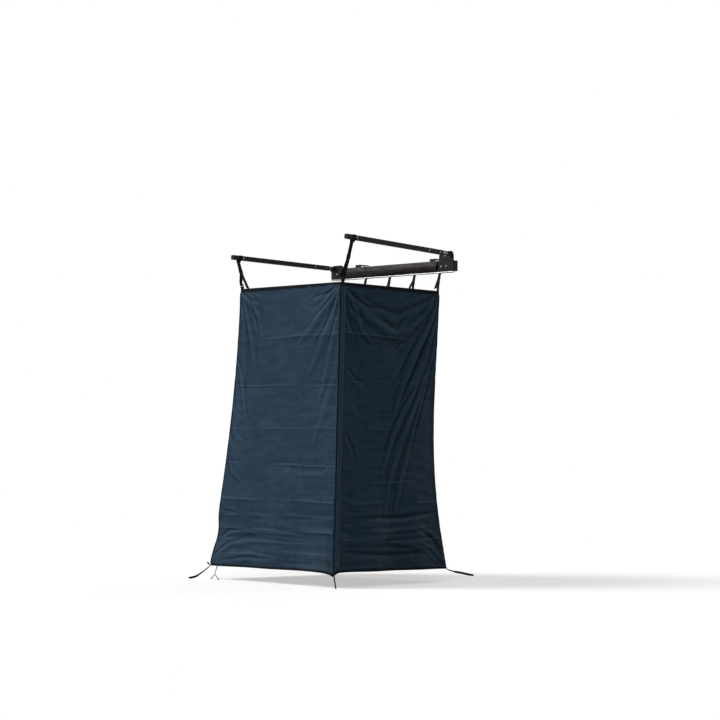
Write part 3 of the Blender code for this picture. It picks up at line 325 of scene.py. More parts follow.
def cloth_finish(name, colour, faded_and_highlight):
    """Coated plain weave with soft crumples and faded patches, with painted highlight along its creases and
    on its ridges, and painted shade in its folds and under its creases.
    """
    yarn_pitch, crumple_height, weave_height, worn_line_height = 0.0011, 0.0011, 0.00004, 0.0010
    dusty, painted_shade_share = (0.046, 0.054, 0.058), 0.40
    made = Finish(name, colour, 0.6, gloss=0.05)
    uv = made.uv()
    across, down, _ = made.split(uv)
    turn = 2 * math.pi / yarn_pitch
    weave = (across * turn).sine() * (down * turn).sine()
    broad = made.noise(uv, scale=3.2)
    crumpled = made.noise(uv, scale=16.0, detail=5.0, roughness=0.6, distortion=0.6)
    fine = made.noise(uv, scale=70.0)
    crease, gap, hollow = made.mask("crease"), made.mask("crease_gap"), made.mask("hollow")
    line = made.clamp(abs(gap), 0.006, 0.0) * crease
    # Painted shadow: the band just under each crease line is darkened in the colour.
    shadow_below_crease = made.clamp(abs(gap - 0.007), 0.007, 0.0) * crease
    # Paler share: random fading, plus painted highlight along crease lines and on fold ridges.
    paler_share = made.clamp(broad + (crumpled - 0.5) * 0.7 + line * 0.5 + hollow * 0.35, 0.42, 0.95)
    dust = made.clamp(down, 1.45, 1.85) * made.clamp(crumpled, 0.35, 0.7)
    tone = made.mix(made.mix(colour, faded_and_highlight, paler_share), dusty, dust * 0.30)
    # Painted shade: fold valleys and the bands under creases take a darker colour.
    shade = made.clamp(hollow * -1.0, 0.0, 1.0) * 0.55 + shadow_below_crease * 0.35
    made.feed("Base Color", made.mix(tone, [part * painted_shade_share for part in colour], shade))
    made.feed("Roughness", 0.50 + fine * 0.10 + line * 0.08)
    soft = crumpled * crumple_height + fine * (crumple_height * 0.16)
    made.bump(weave * weave_height + soft + line * worn_line_height)
    return made


def tape_finish(name, colour, edge, pitch=0.0013):
    """Woven tape or webbing: ribs across it that zigzag a little, paler on their crests as a painted
    highlight, and paler in rubbed patches.
    """
    made = Finish(name, colour, 0.75, gloss=0.05)
    uv = made.uv()
    along, across, _ = made.split(uv)
    turn = 2 * math.pi / pitch
    ribs = (along * turn + (across * (turn * 0.45)).sine() * 1.6).sine()
    yarn = (across * (turn * 1.4)).sine()
    rub = made.noise(uv, scale=60.0, detail=4.0)
    fuzz = made.noise(uv, scale=900.0, detail=2.0)
    # The edge colour is painted highlight on the rib crests, and real rubbing where the rub noise is high.
    made.feed("Base Color", made.mix(colour, edge, made.clamp(ribs * 0.35 + rub, 0.45, 1.05)))
    made.feed("Roughness", 0.66 + fuzz * 0.2)
    made.bump(ribs * 0.00016 + yarn * 0.00006 + fuzz * 0.00005)
    return made


def coated_finish(name, colour, scuffed, grain=1400.0, roughness=0.42, gloss=0.16):
    """Powder coat or moulded plastic: a fine orange peel, faint scuffs, and dust on upper faces."""
    made = Finish(name, colour, roughness, gloss=gloss)
    spot = made.spot()
    peel = made.noise(spot, grain, detail=2.0)
    scuff = made.noise(made.scaled(spot, (1.0, 1.0, 5.0)), scale=55.0, detail=6.0, roughness=0.7)
    facing = made.split(made.node("ShaderNodeNewGeometry", output="Normal"))[2]
    dust = made.clamp(facing, 0.6, 1.0) * made.clamp(scuff, 0.35, 0.75)
    paler_share = made.clamp(scuff, 0.60, 0.74) * 0.6 + dust * 0.35
    made.feed("Base Color", made.mix(colour, scuffed, paler_share))
    made.feed("Roughness", roughness + (scuff - 0.5) * 0.25 + dust * 0.2)
    made.bump(peel * 0.00006 + scuff * 0.00005)
    return made


def metal_finish(name, colour, tarnish, roughness, grain=260.0, stretch=(1, 1, 1)):
    """Drawn or plated metal: hairlines along the stretch, and patches of duller surface."""
    made = Finish(name, colour, roughness, metallic=1.0)
    spot = made.spot()
    hair = made.noise(made.scaled(spot, stretch), grain, roughness=0.6)
    dull = made.noise(spot, scale=38.0, detail=4.0, roughness=0.6)
    made.feed("Base Color", made.mix(colour, tarnish, made.clamp(dull, 0.40, 0.70)))
    made.feed("Roughness", roughness + (hair - 0.5) * 0.22 + made.clamp(dull, 0.45, 0.75) * 0.16)
    made.bump(hair * 0.00004 + dull * 0.00006)
    return made


def sheath_finish(name, colour, lighter):
    """Coated sheet over the rail: a leathery grain, soft scuffs and a slight gloss."""
    made = Finish(name, colour, 0.40, gloss=0.12)
    uv = made.uv()
    grain = made.noise(uv, scale=420.0, detail=4.0, roughness=0.6)
    soft = made.noise(uv, scale=22.0, detail=5.0, roughness=0.6, distortion=0.8)
    made.feed("Base Color", made.mix(colour, lighter, made.clamp(soft, 0.42, 0.75)))
    made.feed("Roughness", 0.34 + grain * 0.14 + soft * 0.10)
    made.bump(grain * 0.00018 + soft * 0.0012)
    return made


NAVY = cloth_finish("navy_cloth", (0.0135, 0.0315, 0.0530), (0.0240, 0.0470, 0.0730))
PLACKET = cloth_finish("navy_placket", (0.0360, 0.0620, 0.0940), (0.0500, 0.0840, 0.1240))
HEM_TAPE = tape_finish("black_hem_tape", (0.0045, 0.0065, 0.0095), (0.012, 0.016, 0.022), 0.0011)
NAVY_TAPE = tape_finish("navy_seam_tape", (0.0085, 0.0170, 0.0290), (0.016, 0.027, 0.041), 0.0011)
WEBBING = tape_finish("black_webbing", (0.0070, 0.0078, 0.0095), (0.026, 0.029, 0.034))
THREAD = tape_finish("sewing_thread", (0.020, 0.024, 0.030), (0.050, 0.058, 0.068), 0.0006)
COIL = coated_finish("zip_coil", (0.010, 0.013, 0.017), (0.016, 0.020, 0.025), 2500.0, 0.6, 0.05)
POWDER = coated_finish("black_powder_coat", (0.0055, 0.0062, 0.0078), (0.026, 0.027, 0.028))
PLASTIC = coated_finish("black_plastic", (0.0085, 0.0088, 0.0098), (0.030, 0.031, 0.032), 900.0, 0.5)
ZINC = metal_finish("zinc_steel", (0.27, 0.27, 0.275), (0.15, 0.15, 0.155), 0.30)
DARK_ZINC = metal_finish("blackened_zinc", (0.060, 0.060, 0.062), (0.030, 0.030, 0.032), 0.34)
DRAWN = (0.03, 1, 1)
BRIGHT = metal_finish("bright_aluminium", (0.50, 0.49, 0.47), (0.34, 0.33, 0.31), 0.28, 2600.0, DRAWN)
DARK_RAIL = metal_finish("dark_anodised", (0.026, 0.023, 0.021), (0.015, 0.013, 0.012), 0.34, 2200.0, DRAWN)
SHEATH = sheath_finish("cover_sheet", (0.0095, 0.0072, 0.0064), (0.022, 0.017, 0.0150))


# Making pieces


def to_mesh(shape, name):
    data = bpy.data.meshes.new(name)
    shape.to_mesh(data)
    shape.free()
    return data


def link(name, data):
    made = bpy.data.objects.new(name, data)
    bpy.context.scene.collection.objects.link(made)
    return made


def add_piece(data, finish, slot, body="rail", nodes=()):
    """Puts a finished mesh in the scene on a body, in place of its CAD nodes."""
    made = link(data.name, data)
    data.materials.append(finish.material)
    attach(made, body)
    if nodes:
        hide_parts(*nodes)
    return made


def crumples(*pieces):
    """Gives each piece its own copy of its mesh."""
    for piece in pieces:
        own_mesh(piece)


def thicken(piece, thickness):
    wall = piece.modifiers.new("thickness", "SOLIDIFY")
    wall.thickness = thickness
    wall.offset = 0.0
    wall.use_even_offset = False


def grid_mesh(name, columns, rows, place, measure):
    """A grid whose shares across and down are turned into points, and into metres of flat cloth."""
    shape = bmesh.new()
    bmesh.ops.create_grid(shape, x_segments=columns, y_segments=rows, size=0.5)
    data = to_mesh(shape, name)
    flat = np.empty(len(data.vertices) * 3)
    data.vertices.foreach_get("co", flat)
    across, down = flat[0::3] + 0.5, 0.5 - flat[1::3]
    data.vertices.foreach_set("co", place(across, down).ravel())
    corners = np.empty(len(data.loops), dtype=int)
    data.loops.foreach_get("vertex_index", corners)
    layer = data.uv_layers.new(name=UV)
    layer.data.foreach_set("uv", measure(across, down)[corners].ravel())
    data.update()
    data.shade_smooth()
    return data


def face_outward(data, outward):
    """Turns an open sheet's faces to a direction."""
    shape = bmesh.new()
    shape.from_mesh(data)
    if sum(face.normal.dot(outward) for face in shape.faces) < 0:
        bmesh.ops.reverse_faces(shape, faces=shape.faces)
    shape.to_mesh(data)
    shape.free()


def unit(vectors):
    return vectors / np.maximum(np.linalg.norm(vectors, axis=-1, keepdims=True), 1e-12)


def along_path(points):
    """Directions and distances at the points of a path."""
    points = np.asarray(points, float)
    steps = np.linalg.norm(np.diff(points, axis=0), axis=1)
    return unit(np.gradient(points, axis=0)), np.concatenate([[0.0], np.cumsum(steps)])


def columns_at(where, places, values):
    """Rows of values read off at where, each column by itself."""
    return np.stack([np.interp(where, places, values[:, k]) for k in range(values.shape[1])], -1)


def flat_section(width, thickness, sides, roundness):
    """A flat band's section, in width and thickness. Its edges are round at a roundness of 1."""
    turn = np.linspace(0, 2 * math.pi, sides + 1) + math.pi / sides
    wide = np.sign(np.cos(turn)) * np.abs(np.cos(turn)) ** roundness * width / 2
    thick = np.sign(np.sin(turn)) * np.abs(np.sin(turn)) ** roundness * thickness / 2
    return np.stack([wide, thick], -1)


def band_mesh(name, points, across, section, closed=False):
    """Webbing, tape or a tube: a section carried along a path, with its width along across."""
    points = np.asarray(points, float)
    across = np.broadcast_to(np.asarray(across, float), points.shape)
    if closed:
        points = np.concatenate([points, points[:1]])
        across = np.concatenate([across, across[:1]])
    tangent, distance = along_path(points)
    if closed:
        tangent[0] = tangent[-1] = unit(points[1] - points[-2])
    across = unit(across - tangent * np.sum(across * tangent, -1, keepdims=True))
    normal = np.cross(tangent, across)
    girth = along_path(section)[1]

    def nearest(u, v):
        return (np.rint(share * (len(row) - 1)).astype(int) for share, row in ((u, points), (v, section)))

    def place(u, v):
        i, j = nearest(u, v)
        return points[i] + across[i] * section[j, 0:1] + normal[i] * section[j, 1:2]

    def measure(u, v):
        i, j = nearest(u, v)
        return np.stack([distance[i], girth[j]], -1)

    data = grid_mesh(name, len(points) - 1, len(section) - 1, place, measure)
    shape = bmesh.new()
    shape.from_mesh(data)
    bmesh.ops.remove_doubles(shape, verts=shape.verts, dist=1e-6)
    if not closed:
        open_edges = [edge for edge in shape.edges if edge.is_boundary]
        bmesh.ops.holes_fill(shape, edges=open_edges, sides=0)
    bmesh.ops.recalc_face_normals(shape, faces=shape.faces)
    shape.to_mesh(data)
    shape.free()
    data.shade_smooth()
    data.set_sharp_from_angle(angle=math.radians(50))
    return data


def rounded(points, radius, steps):
    """A path whose corners are rounded off."""
    points = [Vector(point) for point in points]
    route = [points[0]]
    for before, corner, after in zip(points, points[1:], points[2:]):
        reach = min(radius, (corner - before).length * 0.48, (after - corner).length * 0.48)
        start = corner + (before - corner).normalized() * reach
        end = corner + (after - corner).normalized() * reach
        for i in range(steps + 1):
            t = i / steps
            route.append(start * (1 - t) ** 2 + corner * 2 * t * (1 - t) + end * t**2)
    route.append(points[-1])
    return route


def filled(points, step):
    """The same path with points no further apart than step."""
    route = [Vector(points[0])]
    for start, end in zip(points, points[1:]):
        start, end = Vector(start), Vector(end)
        parts = max(1, math.ceil((end - start).length / step))
        route += [start.lerp(end, (k + 1) / parts) for k in range(parts)]
    return route


def smooth_route(points, step):
    """Points about a step apart on a smooth curve through the given points."""
    route = []
    last = len(points) - 1
    for i in range(last):
        before, start = Vector(points[max(i - 1, 0)]), Vector(points[i])
        end, after = Vector(points[i + 1]), Vector(points[min(i + 2, last)])
        parts = max(1, round((end - start).length / step))
        for k in range(parts):
            t = k / parts
            turn = 2 * start + (end - before) * t + (2 * before - 5 * start + 4 * end - after) * t * t
            route.append((turn + (3 * start - before - 3 * end + after) * t**3) * 0.5)
    route.append(Vector(points[-1]))
    return route


def arc(radius, start_deg, end_deg, steps):
    turns = [math.radians(start_deg + (end_deg - start_deg) * i / steps) for i in range(steps + 1)]
    return [(radius * math.cos(t), radius * math.sin(t)) for t in turns]


def small_blocks(name, places):
    """Many small blocks in one mesh. Each has a middle, three directions and three sizes."""
    shape = bmesh.new()
    layer = shape.loops.layers.uv.new(UV)
    for spot, directions, size in places:
        turn = Matrix(directions).transposed().to_4x4()
        place = Matrix.Translation(spot) @ turn @ Matrix.Diagonal((*size, 1.0))
        bmesh.ops.create_cube(shape, size=1.0, matrix=place)
    for face in shape.faces:
        for corner in face.loops:
            corner[layer].uv = (corner.vert.co.z, corner.vert.co.x + corner.vert.co.y)
    bmesh.ops.recalc_face_normals(shape, faces=shape.faces)
    return to_mesh(shape, name)


def add_stitches(name, rows, body="rail", slot="black_hem_tape", pitch=0.0045, gauge=0.0005):
    """Rows of small stitches. A row is a path with the outward direction at each of its points."""
    size = (pitch * 0.72, gauge * 1.5, gauge)

    def places():
        for points, outward in rows:
            points = np.asarray(points, float)
            outward = np.broadcast_to(np.asarray(outward, float), points.shape)
            tangent, distance = along_path(points)
            where = (np.arange(int(distance[-1] / pitch)) + 0.5) * pitch
            read = [columns_at(where, distance, values) for values in (points, tangent, outward)]
            for spot, ahead, up in zip(*read):
                ahead, up = Vector(ahead).normalized(), Vector(up)
                up = (up - ahead * up.dot(ahead)).normalized()
                yield Vector(spot), (ahead, up.cross(ahead), up), size

    return add_piece(small_blocks(name, places()), THREAD, slot, body)


# Shape of the hung cloth


def corner_edge(name, v):
    """A corner of the room at the shares v of its height, from top to bottom."""
    v = np.asarray(v, float)
    sign_x, y, flare, power = CORNERS[name]
    spread = v**power
    if name == "front":
        depth, at, width = FRONT_TUCK
        spread = spread - depth * np.exp(-(((v - at) / width) ** 2))
    bow = np.sin(np.pi * v**BOW_POWER) * (name == "rear")
    drop = NEAR_TIP_DROP * v * (name == "near")
    x = sign_x * ROOM_HALF_X + flare[0] * spread + REAR_BOW[0] * bow
    return np.stack([x, y + flare[1] * spread + REAR_BOW[1] * bow, ROOM_TOP - (ROOM_HEIGHT + drop) * v], -1)


def ramp(value, low, high):
    share = np.clip((value - low) / (high - low), 0.0, 1.0)
    return share * share * (3 - 2 * share)


def bottom_rise(name, u, v):
    """How far the bottom edge lies above its corners: an arch, or the pull up from the near corner's tip."""
    share = ramp(v, *BOTTOM_RISE_FROM)
    if name not in NEAR_TIP_SPREAD:
        return BOTTOM_ARCH * np.sin(np.pi * u) * share
    from_near = u if name == "outer_wall" else 1 - u
    return NEAR_TIP_RISE * (1 - np.exp(-from_near / NEAR_TIP_SPREAD[name])) * (1 - from_near) * share


def beside(x, y, line):
    """Distance from a line of points given as shares of the wall, and the share along it."""
    line = np.asarray(line, float) * (WALL_SPAN, ROOM_HEIGHT)
    spans = np.linalg.norm(np.diff(line, axis=0), axis=1)
    best, share, run = np.full(x.shape, 9.0), np.zeros(x.shape), 0.0
    for start, end, span in zip(line, line[1:], spans):
        step = end - start
        t = np.clip(((x - start[0]) * step[0] + (y - start[1]) * step[1]) / span**2, 0, 1)
        aside = np.hypot(x - start[0] - step[0] * t, y - start[1] - step[1] * t)
        nearer = aside < best
        best = np.where(nearer, aside, best)
        share = np.where(nearer, (run + t * span) / spans.sum(), share)
        run += span
    return best, share


def ridge(x, y, line, width, height):
    """A soft fold along a line, with a shallow valley on each side."""
    aside, share = beside(x, y, line)
    wide = width * (0.45 + 0.75 * np.sin(np.pi * np.clip(share, 0.05, 0.95)))
    offset = (aside / wide) ** 2
    return height * np.sin(np.pi * (0.08 + 0.84 * share)) * (1 - FOLD_VALLEY * offset) * np.exp(-offset)


def pinch(x, y, line, height, width):
    """A sharp valley along a line between two soft shoulders, deepest near its start."""
    aside, share = beside(x, y, line)
    fade = ramp(share, -0.05, 0.08) * ramp(1 - share, -0.02, 0.55)
    sharp = np.exp(-aside / width)
    soft = np.exp(-((aside - 2.4 * width) ** 2) / (1.6 * width) ** 2)
    return height * fade * (0.55 * soft - 1.2 * sharp)


def waves(x, y, seed, per_metre_x, per_metre_y, count=9):
    """Smooth random waviness, about -1 to 1, with so many waves to the metre each way."""
    random = np.random.default_rng(seed)
    total = np.zeros(x.shape)
    for _ in range(count):
        turn = random.uniform(0, 2 * math.pi)
        phase = random.uniform(0, 2 * math.pi)
        length = random.uniform(0.6, 1.4)
        across, along = math.cos(turn) * per_metre_x * length, math.sin(turn) * per_metre_y * length
        total += np.sin(2 * math.pi * (across * x + along * y) + phase)
    return total / math.sqrt(count) / 1.3


def fan(x, y, corner_x, seed, count, reach, height):
    """Pulled folds that spread from a top corner, steeper on one side, and fade out at their reach."""
    aside = np.abs(x - corner_x)
    turn = np.arctan2(y, aside + 1e-6) / (np.pi / 2)
    far = np.hypot(aside, y)
    wave = waves(turn, far, seed, count, 0.8, 7)
    crest = 0.55 - np.abs(wave) ** 0.8
    side = ramp(turn, 0.03, 0.16) * ramp(1 - turn, 0.03, 0.12)
    return height * crest * side * (far / reach) * np.exp(1 - far / reach) * ramp(1.9 * reach - far, 0, reach)


# Folds run from point to point, given as shares across and down the wall, with half width and height
OUTER_FOLDS = (
    (((0.985, 0.01), (0.93, 0.09), (0.84, 0.20), (0.80, 0.30)), 0.034, 0.0080),
    (((0.985, 0.02), (0.95, 0.14), (0.91, 0.28), (0.90, 0.40)), 0.030, 0.0060),
    (((0.97, 0.01), (0.86, 0.07), (0.74, 0.13)), 0.030, 0.0060),
    (((0.015, 0.01), (0.12, 0.08), (0.25, 0.15), (0.38, 0.21)), 0.038, 0.0085),
    (((0.015, 0.02), (0.08, 0.13), (0.19, 0.25), (0.28, 0.33)), 0.034, 0.0070),
    (((0.02, 0.03), (0.05, 0.18), (0.12, 0.33), (0.18, 0.44)), 0.028, 0.0050),
    (((0.02, 0.30), (0.10, 0.42), (0.22, 0.58)), 0.030, 0.0040),
    (((0.99, 0.27), (0.90, 0.37), (0.84, 0.47)), 0.024, 0.0050),
    (((0.99, 0.48), (0.90, 0.54), (0.80, 0.56)), 0.022, 0.0042),
    (((0.99, 0.60), (0.93, 0.66), (0.80, 0.70)), 0.020, 0.0038),
    (((0.98, 0.97), (0.86, 0.915), (0.62, 0.90), (0.40, 0.905)), 0.026, 0.0065),
    (((0.99, 0.90), (0.80, 0.87), (0.55, 0.865), (0.25, 0.875)), 0.020, 0.0050),
    (((0.97, 0.82), (0.78, 0.805), (0.50, 0.812)), 0.018, 0.0042),
    (((0.92, 0.955), (0.68, 0.95), (0.45, 0.958)), 0.016, 0.0045),
    (((0.03, 0.62), (0.10, 0.66), (0.34, 0.665)), 0.022, 0.0034),
)
REAR_FOLDS = (
    (((0.02, 0.02), (0.08, 0.10), (0.20, 0.20), (0.34, 0.33), (0.46, 0.47)), 0.042, 0.0130),
    (((0.03, 0.10), (0.12, 0.25), (0.26, 0.38), (0.44, 0.52), (0.56, 0.66)), 0.036, 0.0110),
    (((0.06, 0.22), (0.18, 0.38), (0.32, 0.50), (0.46, 0.66), (0.54, 0.80)), 0.034, 0.0100),
    (((0.14, 0.40), (0.26, 0.54), (0.38, 0.70), (0.46, 0.84)), 0.028, 0.0080),
    (((0.10, 0.16), (0.24, 0.30), (0.40, 0.42)), 0.022, -0.0085),
    (((0.16, 0.34), (0.30, 0.46), (0.48, 0.60)), 0.022, -0.0080),
    (((0.01, 0.03), (0.16, 0.10), (0.32, 0.155), (0.52, 0.165), (0.74, 0.11), (0.96, 0.02)), 0.040, 0.0110),
    (((0.05, 0.02), (0.22, 0.055), (0.45, 0.095), (0.68, 0.065), (0.93, 0.015)), 0.028, -0.0065),
    (((0.34, 0.10), (0.45, 0.15), (0.58, 0.12)), 0.024, -0.0075),
    (((0.97, 0.02), (0.86, 0.09), (0.78, 0.17), (0.70, 0.20)), 0.030, 0.0085),
    (((0.96, 0.03), (0.90, 0.13), (0.83, 0.21)), 0.022, -0.0060),
    (((0.01, 0.985), (0.12, 0.93), (0.30, 0.905), (0.50, 0.90)), 0.030, 0.0100),
    (((0.02, 0.95), (0.10, 0.89), (0.24, 0.85)), 0.022, -0.0050),
    (((0.06, 0.80), (0.40, 0.812), (0.84, 0.805)), 0.020, -0.0060),
    (((0.10, 0.845), (0.50, 0.858), (0.80, 0.85)), 0.022, 0.0055),
    (((0.10, 0.93), (0.50, 0.945), (0.90, 0.93)), 0.018, -0.0050),
)
# Sharp valleys: points as shares across and down the wall, then depth and half width
OUTER_PINCHES = (
    (((0.985, 0.008), (0.888, 0.048), (0.820, 0.120), (0.779, 0.169), (0.76, 0.23)), 0.0065, 0.010),
    (((0.97, 0.012), (0.86, 0.045), (0.74, 0.062)), 0.0040, 0.009),
    (((0.985, 0.03), (0.93, 0.11), (0.88, 0.20), (0.87, 0.29)), 0.0045, 0.009),
    (((0.012, 0.006), (0.12, 0.033), (0.236, 0.046), (0.33, 0.070)), 0.0070, 0.010),
    (((0.015, 0.014), (0.10, 0.060), (0.175, 0.089), (0.247, 0.120), (0.31, 0.150)), 0.0060, 0.009),
    (((0.012, 0.03), (0.06, 0.080), (0.12, 0.135), (0.17, 0.175), (0.28, 0.26)), 0.0045, 0.008),
    (((0.010, 0.06), (0.05, 0.14), (0.09, 0.21), (0.16, 0.30)), 0.0036, 0.007),
    (((0.99, 0.250), (0.93, 0.295), (0.885, 0.330)), 0.0048, 0.009),
    (((0.985, 0.285), (0.955, 0.325), (0.945, 0.370)), 0.0040, 0.008),
    (((0.99, 0.40), (0.95, 0.44), (0.87, 0.465)), 0.0036, 0.008),
    (((0.99, 0.52), (0.94, 0.56), (0.88, 0.575)), 0.0034, 0.008),
    (((0.99, 0.965), (0.93, 0.93), (0.84, 0.905), (0.70, 0.895)), 0.0060, 0.010),
    (((0.985, 0.90), (0.90, 0.868), (0.72, 0.862), (0.50, 0.868)), 0.0050, 0.009),
    (((0.97, 0.80), (0.82, 0.806), (0.62, 0.802)), 0.0040, 0.008),
    (((0.90, 0.975), (0.70, 0.962), (0.40, 0.965)), 0.0045, 0.008),
)
REAR_PINCHES = (
    (((0.965, 0.011), (0.90, 0.035), (0.80, 0.064), (0.70, 0.079), (0.50, 0.082)), 0.0080, 0.013),
    (((0.955, 0.03), (0.893, 0.081), (0.83, 0.110), (0.74, 0.130)), 0.0060, 0.011),
    (((0.015, 0.012), (0.06, 0.055), (0.10, 0.080), (0.22, 0.140), (0.31, 0.178)), 0.0062, 0.010),
    (((0.012, 0.03), (0.09, 0.097), (0.265, 0.220), (0.396, 0.313), (0.543, 0.390)), 0.0085, 0.013),
    (((0.01, 0.06), (0.085, 0.165), (0.195, 0.262), (0.28, 0.325), (0.37, 0.38), (0.46, 0.46)), 0.008, 0.012),
    (((0.012, 0.12), (0.075, 0.240), (0.15, 0.325), (0.205, 0.385), (0.30, 0.48)), 0.0065, 0.011),
    (((0.02, 0.24), (0.07, 0.34), (0.16, 0.46), (0.27, 0.58), (0.33, 0.68)), 0.0058, 0.011),
    (((0.30, 0.178), (0.42, 0.205), (0.50, 0.245), (0.55, 0.30)), 0.0040, 0.010),
    (((0.24, 0.355), (0.375, 0.44), (0.49, 0.525), (0.57, 0.62)), 0.0055, 0.011),
    (((0.012, 0.985), (0.135, 0.93), (0.31, 0.90), (0.45, 0.897)), 0.0070, 0.011),
    (((0.015, 0.93), (0.10, 0.885), (0.22, 0.865)), 0.0045, 0.009),
    (((0.10, 0.80), (0.40, 0.806), (0.85, 0.803)), 0.0055, 0.010),
    (((0.08, 0.885), (0.50, 0.892), (0.88, 0.888)), 0.0055, 0.010),
    (((0.90, 0.30), (0.82, 0.335), (0.70, 0.345)), 0.0040, 0.009),
    (((0.90, 0.52), (0.84, 0.575), (0.79, 0.66)), 0.0036, 0.009),
)
# Packing creases: height below the hem, lean, strength, and the share across from which one shows plainly
OUTER_CREASES = (
    (0.335, 0.010, 0.8),
    (0.645, -0.004, 0.9),
    (0.920, 0.003, 0.7),
    (1.147, -0.006, 1.0),
    (1.374, 0.003, 0.9),
    (1.465, -0.003, 0.7),
    (1.565, 0.004, 0.9),
    (1.647, -0.002, 0.7),
    (1.711, 0.002, 0.7),
    (1.756, 0.000, 0.5),
)
REAR_CREASES = (
    (0.330, -0.012, 2.3, 0.38),
    (0.620, 0.004, 0.8),
    (0.920, -0.003, 0.7),
    (1.256, 0.004, 0.9),
    (1.383, -0.003, 0.8),
    (1.465, 0.003, 1.2),
    (1.620, -0.002, 1.2),
    (1.705, 0.002, 0.8),
)
# How walls differ. The rear one is pulled hardest and lies flat beside the zip. A hold says between which
# shares of the width, counted from the wall's second corner, its relief grows to full height
PLAIN_WALL = {
    "folds": OUTER_FOLDS,
    "fold_strength": 0.95,
    "pinches": OUTER_PINCHES,
    "sharpness": 0.8,
    "pleat": 0.0066,
    "creases": OUTER_CREASES,
    "roughness": 0.62,
    "billow_hold": (0.0, 0.07),
    "fold_hold": (0.0, 0.03),
    "small_hold": (0.0, 0.02),
}
ZIP_WALL = {
    "folds": REAR_FOLDS,
    "fold_strength": 1.25,
    "pinches": REAR_PINCHES,
    "sharpness": 1.0,
    "pleat": 0.0095,
    "creases": REAR_CREASES,
    "roughness": 1.0,
    "billow_hold": (0.056, 0.17),
    "fold_hold": (0.046, 0.085),
    "small_hold": (0.044, 0.075),
}
FOLD_TIGHTNESS = 0.85
FOLD_VALLEY = 0.8
HOLLOW_BLURS = 5
HOLLOW_DEPTH = 0.0016
BILLOW = 0.016
FLUTE = 0.010
UPRIGHT_CREASES = (0.34, 0.67)


def crease_lines(number, creases, x, y):
    """Lines left by packing, strong in places: height, strength, and the distance to the nearest one."""
    height, shown, gap = np.zeros(x.shape), np.zeros(x.shape), np.full(x.shape, 1.0)
    for k, (drop, lean, strength, *start) in enumerate(creases):
        seed = 40 + 10 * number + k
        line = drop + lean * (x / ROOM_HALF_X - 1) + 0.003 * waves(x, 0 * y, seed, 2.5, 1)
        fade = strength * (0.25 + 0.75 * ramp(waves(x, 0 * y, seed + 500, 1.6, 1), -0.7, 0.5))
        if start:
            fade = strength * ramp(x / WALL_SPAN, start[0] - 0.1, start[0] + 0.1)
        aside = y - line
        sharp = np.clip(1 - np.abs(aside) / 0.012, 0, 1)
        soft = np.clip(1 - np.abs(aside) / 0.050, 0, 1)
        height += np.minimum(fade, 1.7) * (0.0026 * sharp + 0.0032 * soft * (-1) ** k)
        nearer = np.abs(aside) < np.abs(gap)
        gap = np.where(nearer, aside, gap)
        shown = np.where(nearer, fade * np.clip(1 - np.abs(aside) / 0.024, 0, 1), shown)
    for k, share in enumerate(UPRIGHT_CREASES):
        line = share + 0.004 * waves(0 * x, y, 90 + number * 2 + k, 1, 1.5)
        aside = np.abs(x - line * WALL_SPAN)
        fade = ramp(waves(0 * x, y, 190 + number * 2 + k, 1, 1.2), -0.3, 0.8)
        height += 0.0007 * fade * np.clip(1 - aside / 0.012, 0, 1) * (-1) ** k
    return height, shown, np.clip(gap, -0.05, 0.05)


def pulled_folds(number, cloth, x, y):
    """Folds, sharp valleys and pleats that the hung corners pull into the cloth."""
    total = 0
    for line, width, height in cloth["folds"]:
        total = total + ridge(x, y, line, width * FOLD_TIGHTNESS, height * cloth["fold_strength"])
    for line, height, width in cloth["pinches"]:
        total = total + pinch(x, y, line, height * cloth["sharpness"], width)
    total = total + fan(x, y, 0.0, 81 + number, 3.2, 0.17, cloth["pleat"])
    return total + fan(x, y, WALL_SPAN, 86 + number, 3.6, 0.15, cloth["pleat"])


def rolls(x, y, seed, per_metre_x, per_metre_y, crest=0.5):
    """Random waviness with broad hollows and narrow crests."""
    return crest - np.abs(waves(x, y, seed, per_metre_x, per_metre_y, 12))


def crumples_at(number, rough, x, y, u, v):
    """Crumples, puckers along the seams, gathers under the top hem, and slack rolls near the ground."""
    crumple = waves(x, y, 11 + number, 7, 5, 14)
    total = rough * (0.0013 * crumple + 0.0022 * rolls(x, y, 23 + number, 5, 7))
    total += rough * 0.0015 * rolls(x, y, 27 + number, 2.2, 13)
    edge = np.minimum(u, 1 - u) * WALL_SPAN
    pucker = np.sin(2 * np.pi * y / 0.034 + 2.0 * waves(0 * x, y, 31 + number, 1, 4))
    reach = 0.030 + 0.018 * waves(0 * x, y, 33 + number, 1, 3)
    total += 0.0013 * pucker * np.exp(-edge / reach) * ramp(waves(0 * x, y, 34 + number, 1, 5), -0.6, 0.8)
    gather = np.sin(2 * np.pi * x / 0.047 + 2.5 * waves(x, 0 * y, 35 + number, 3, 1))
    total += 0.0006 * gather * np.exp(-y / 0.07)
    low = ramp(v, 0.70, 0.92)
    total += rough * 0.0036 * low * rolls(x, y, 51 + number, 1.1, 10, crest=0.6)
    return total + rough * 0.0014 * low * waves(x, y, 57 + number, 2.5, 20, 10)


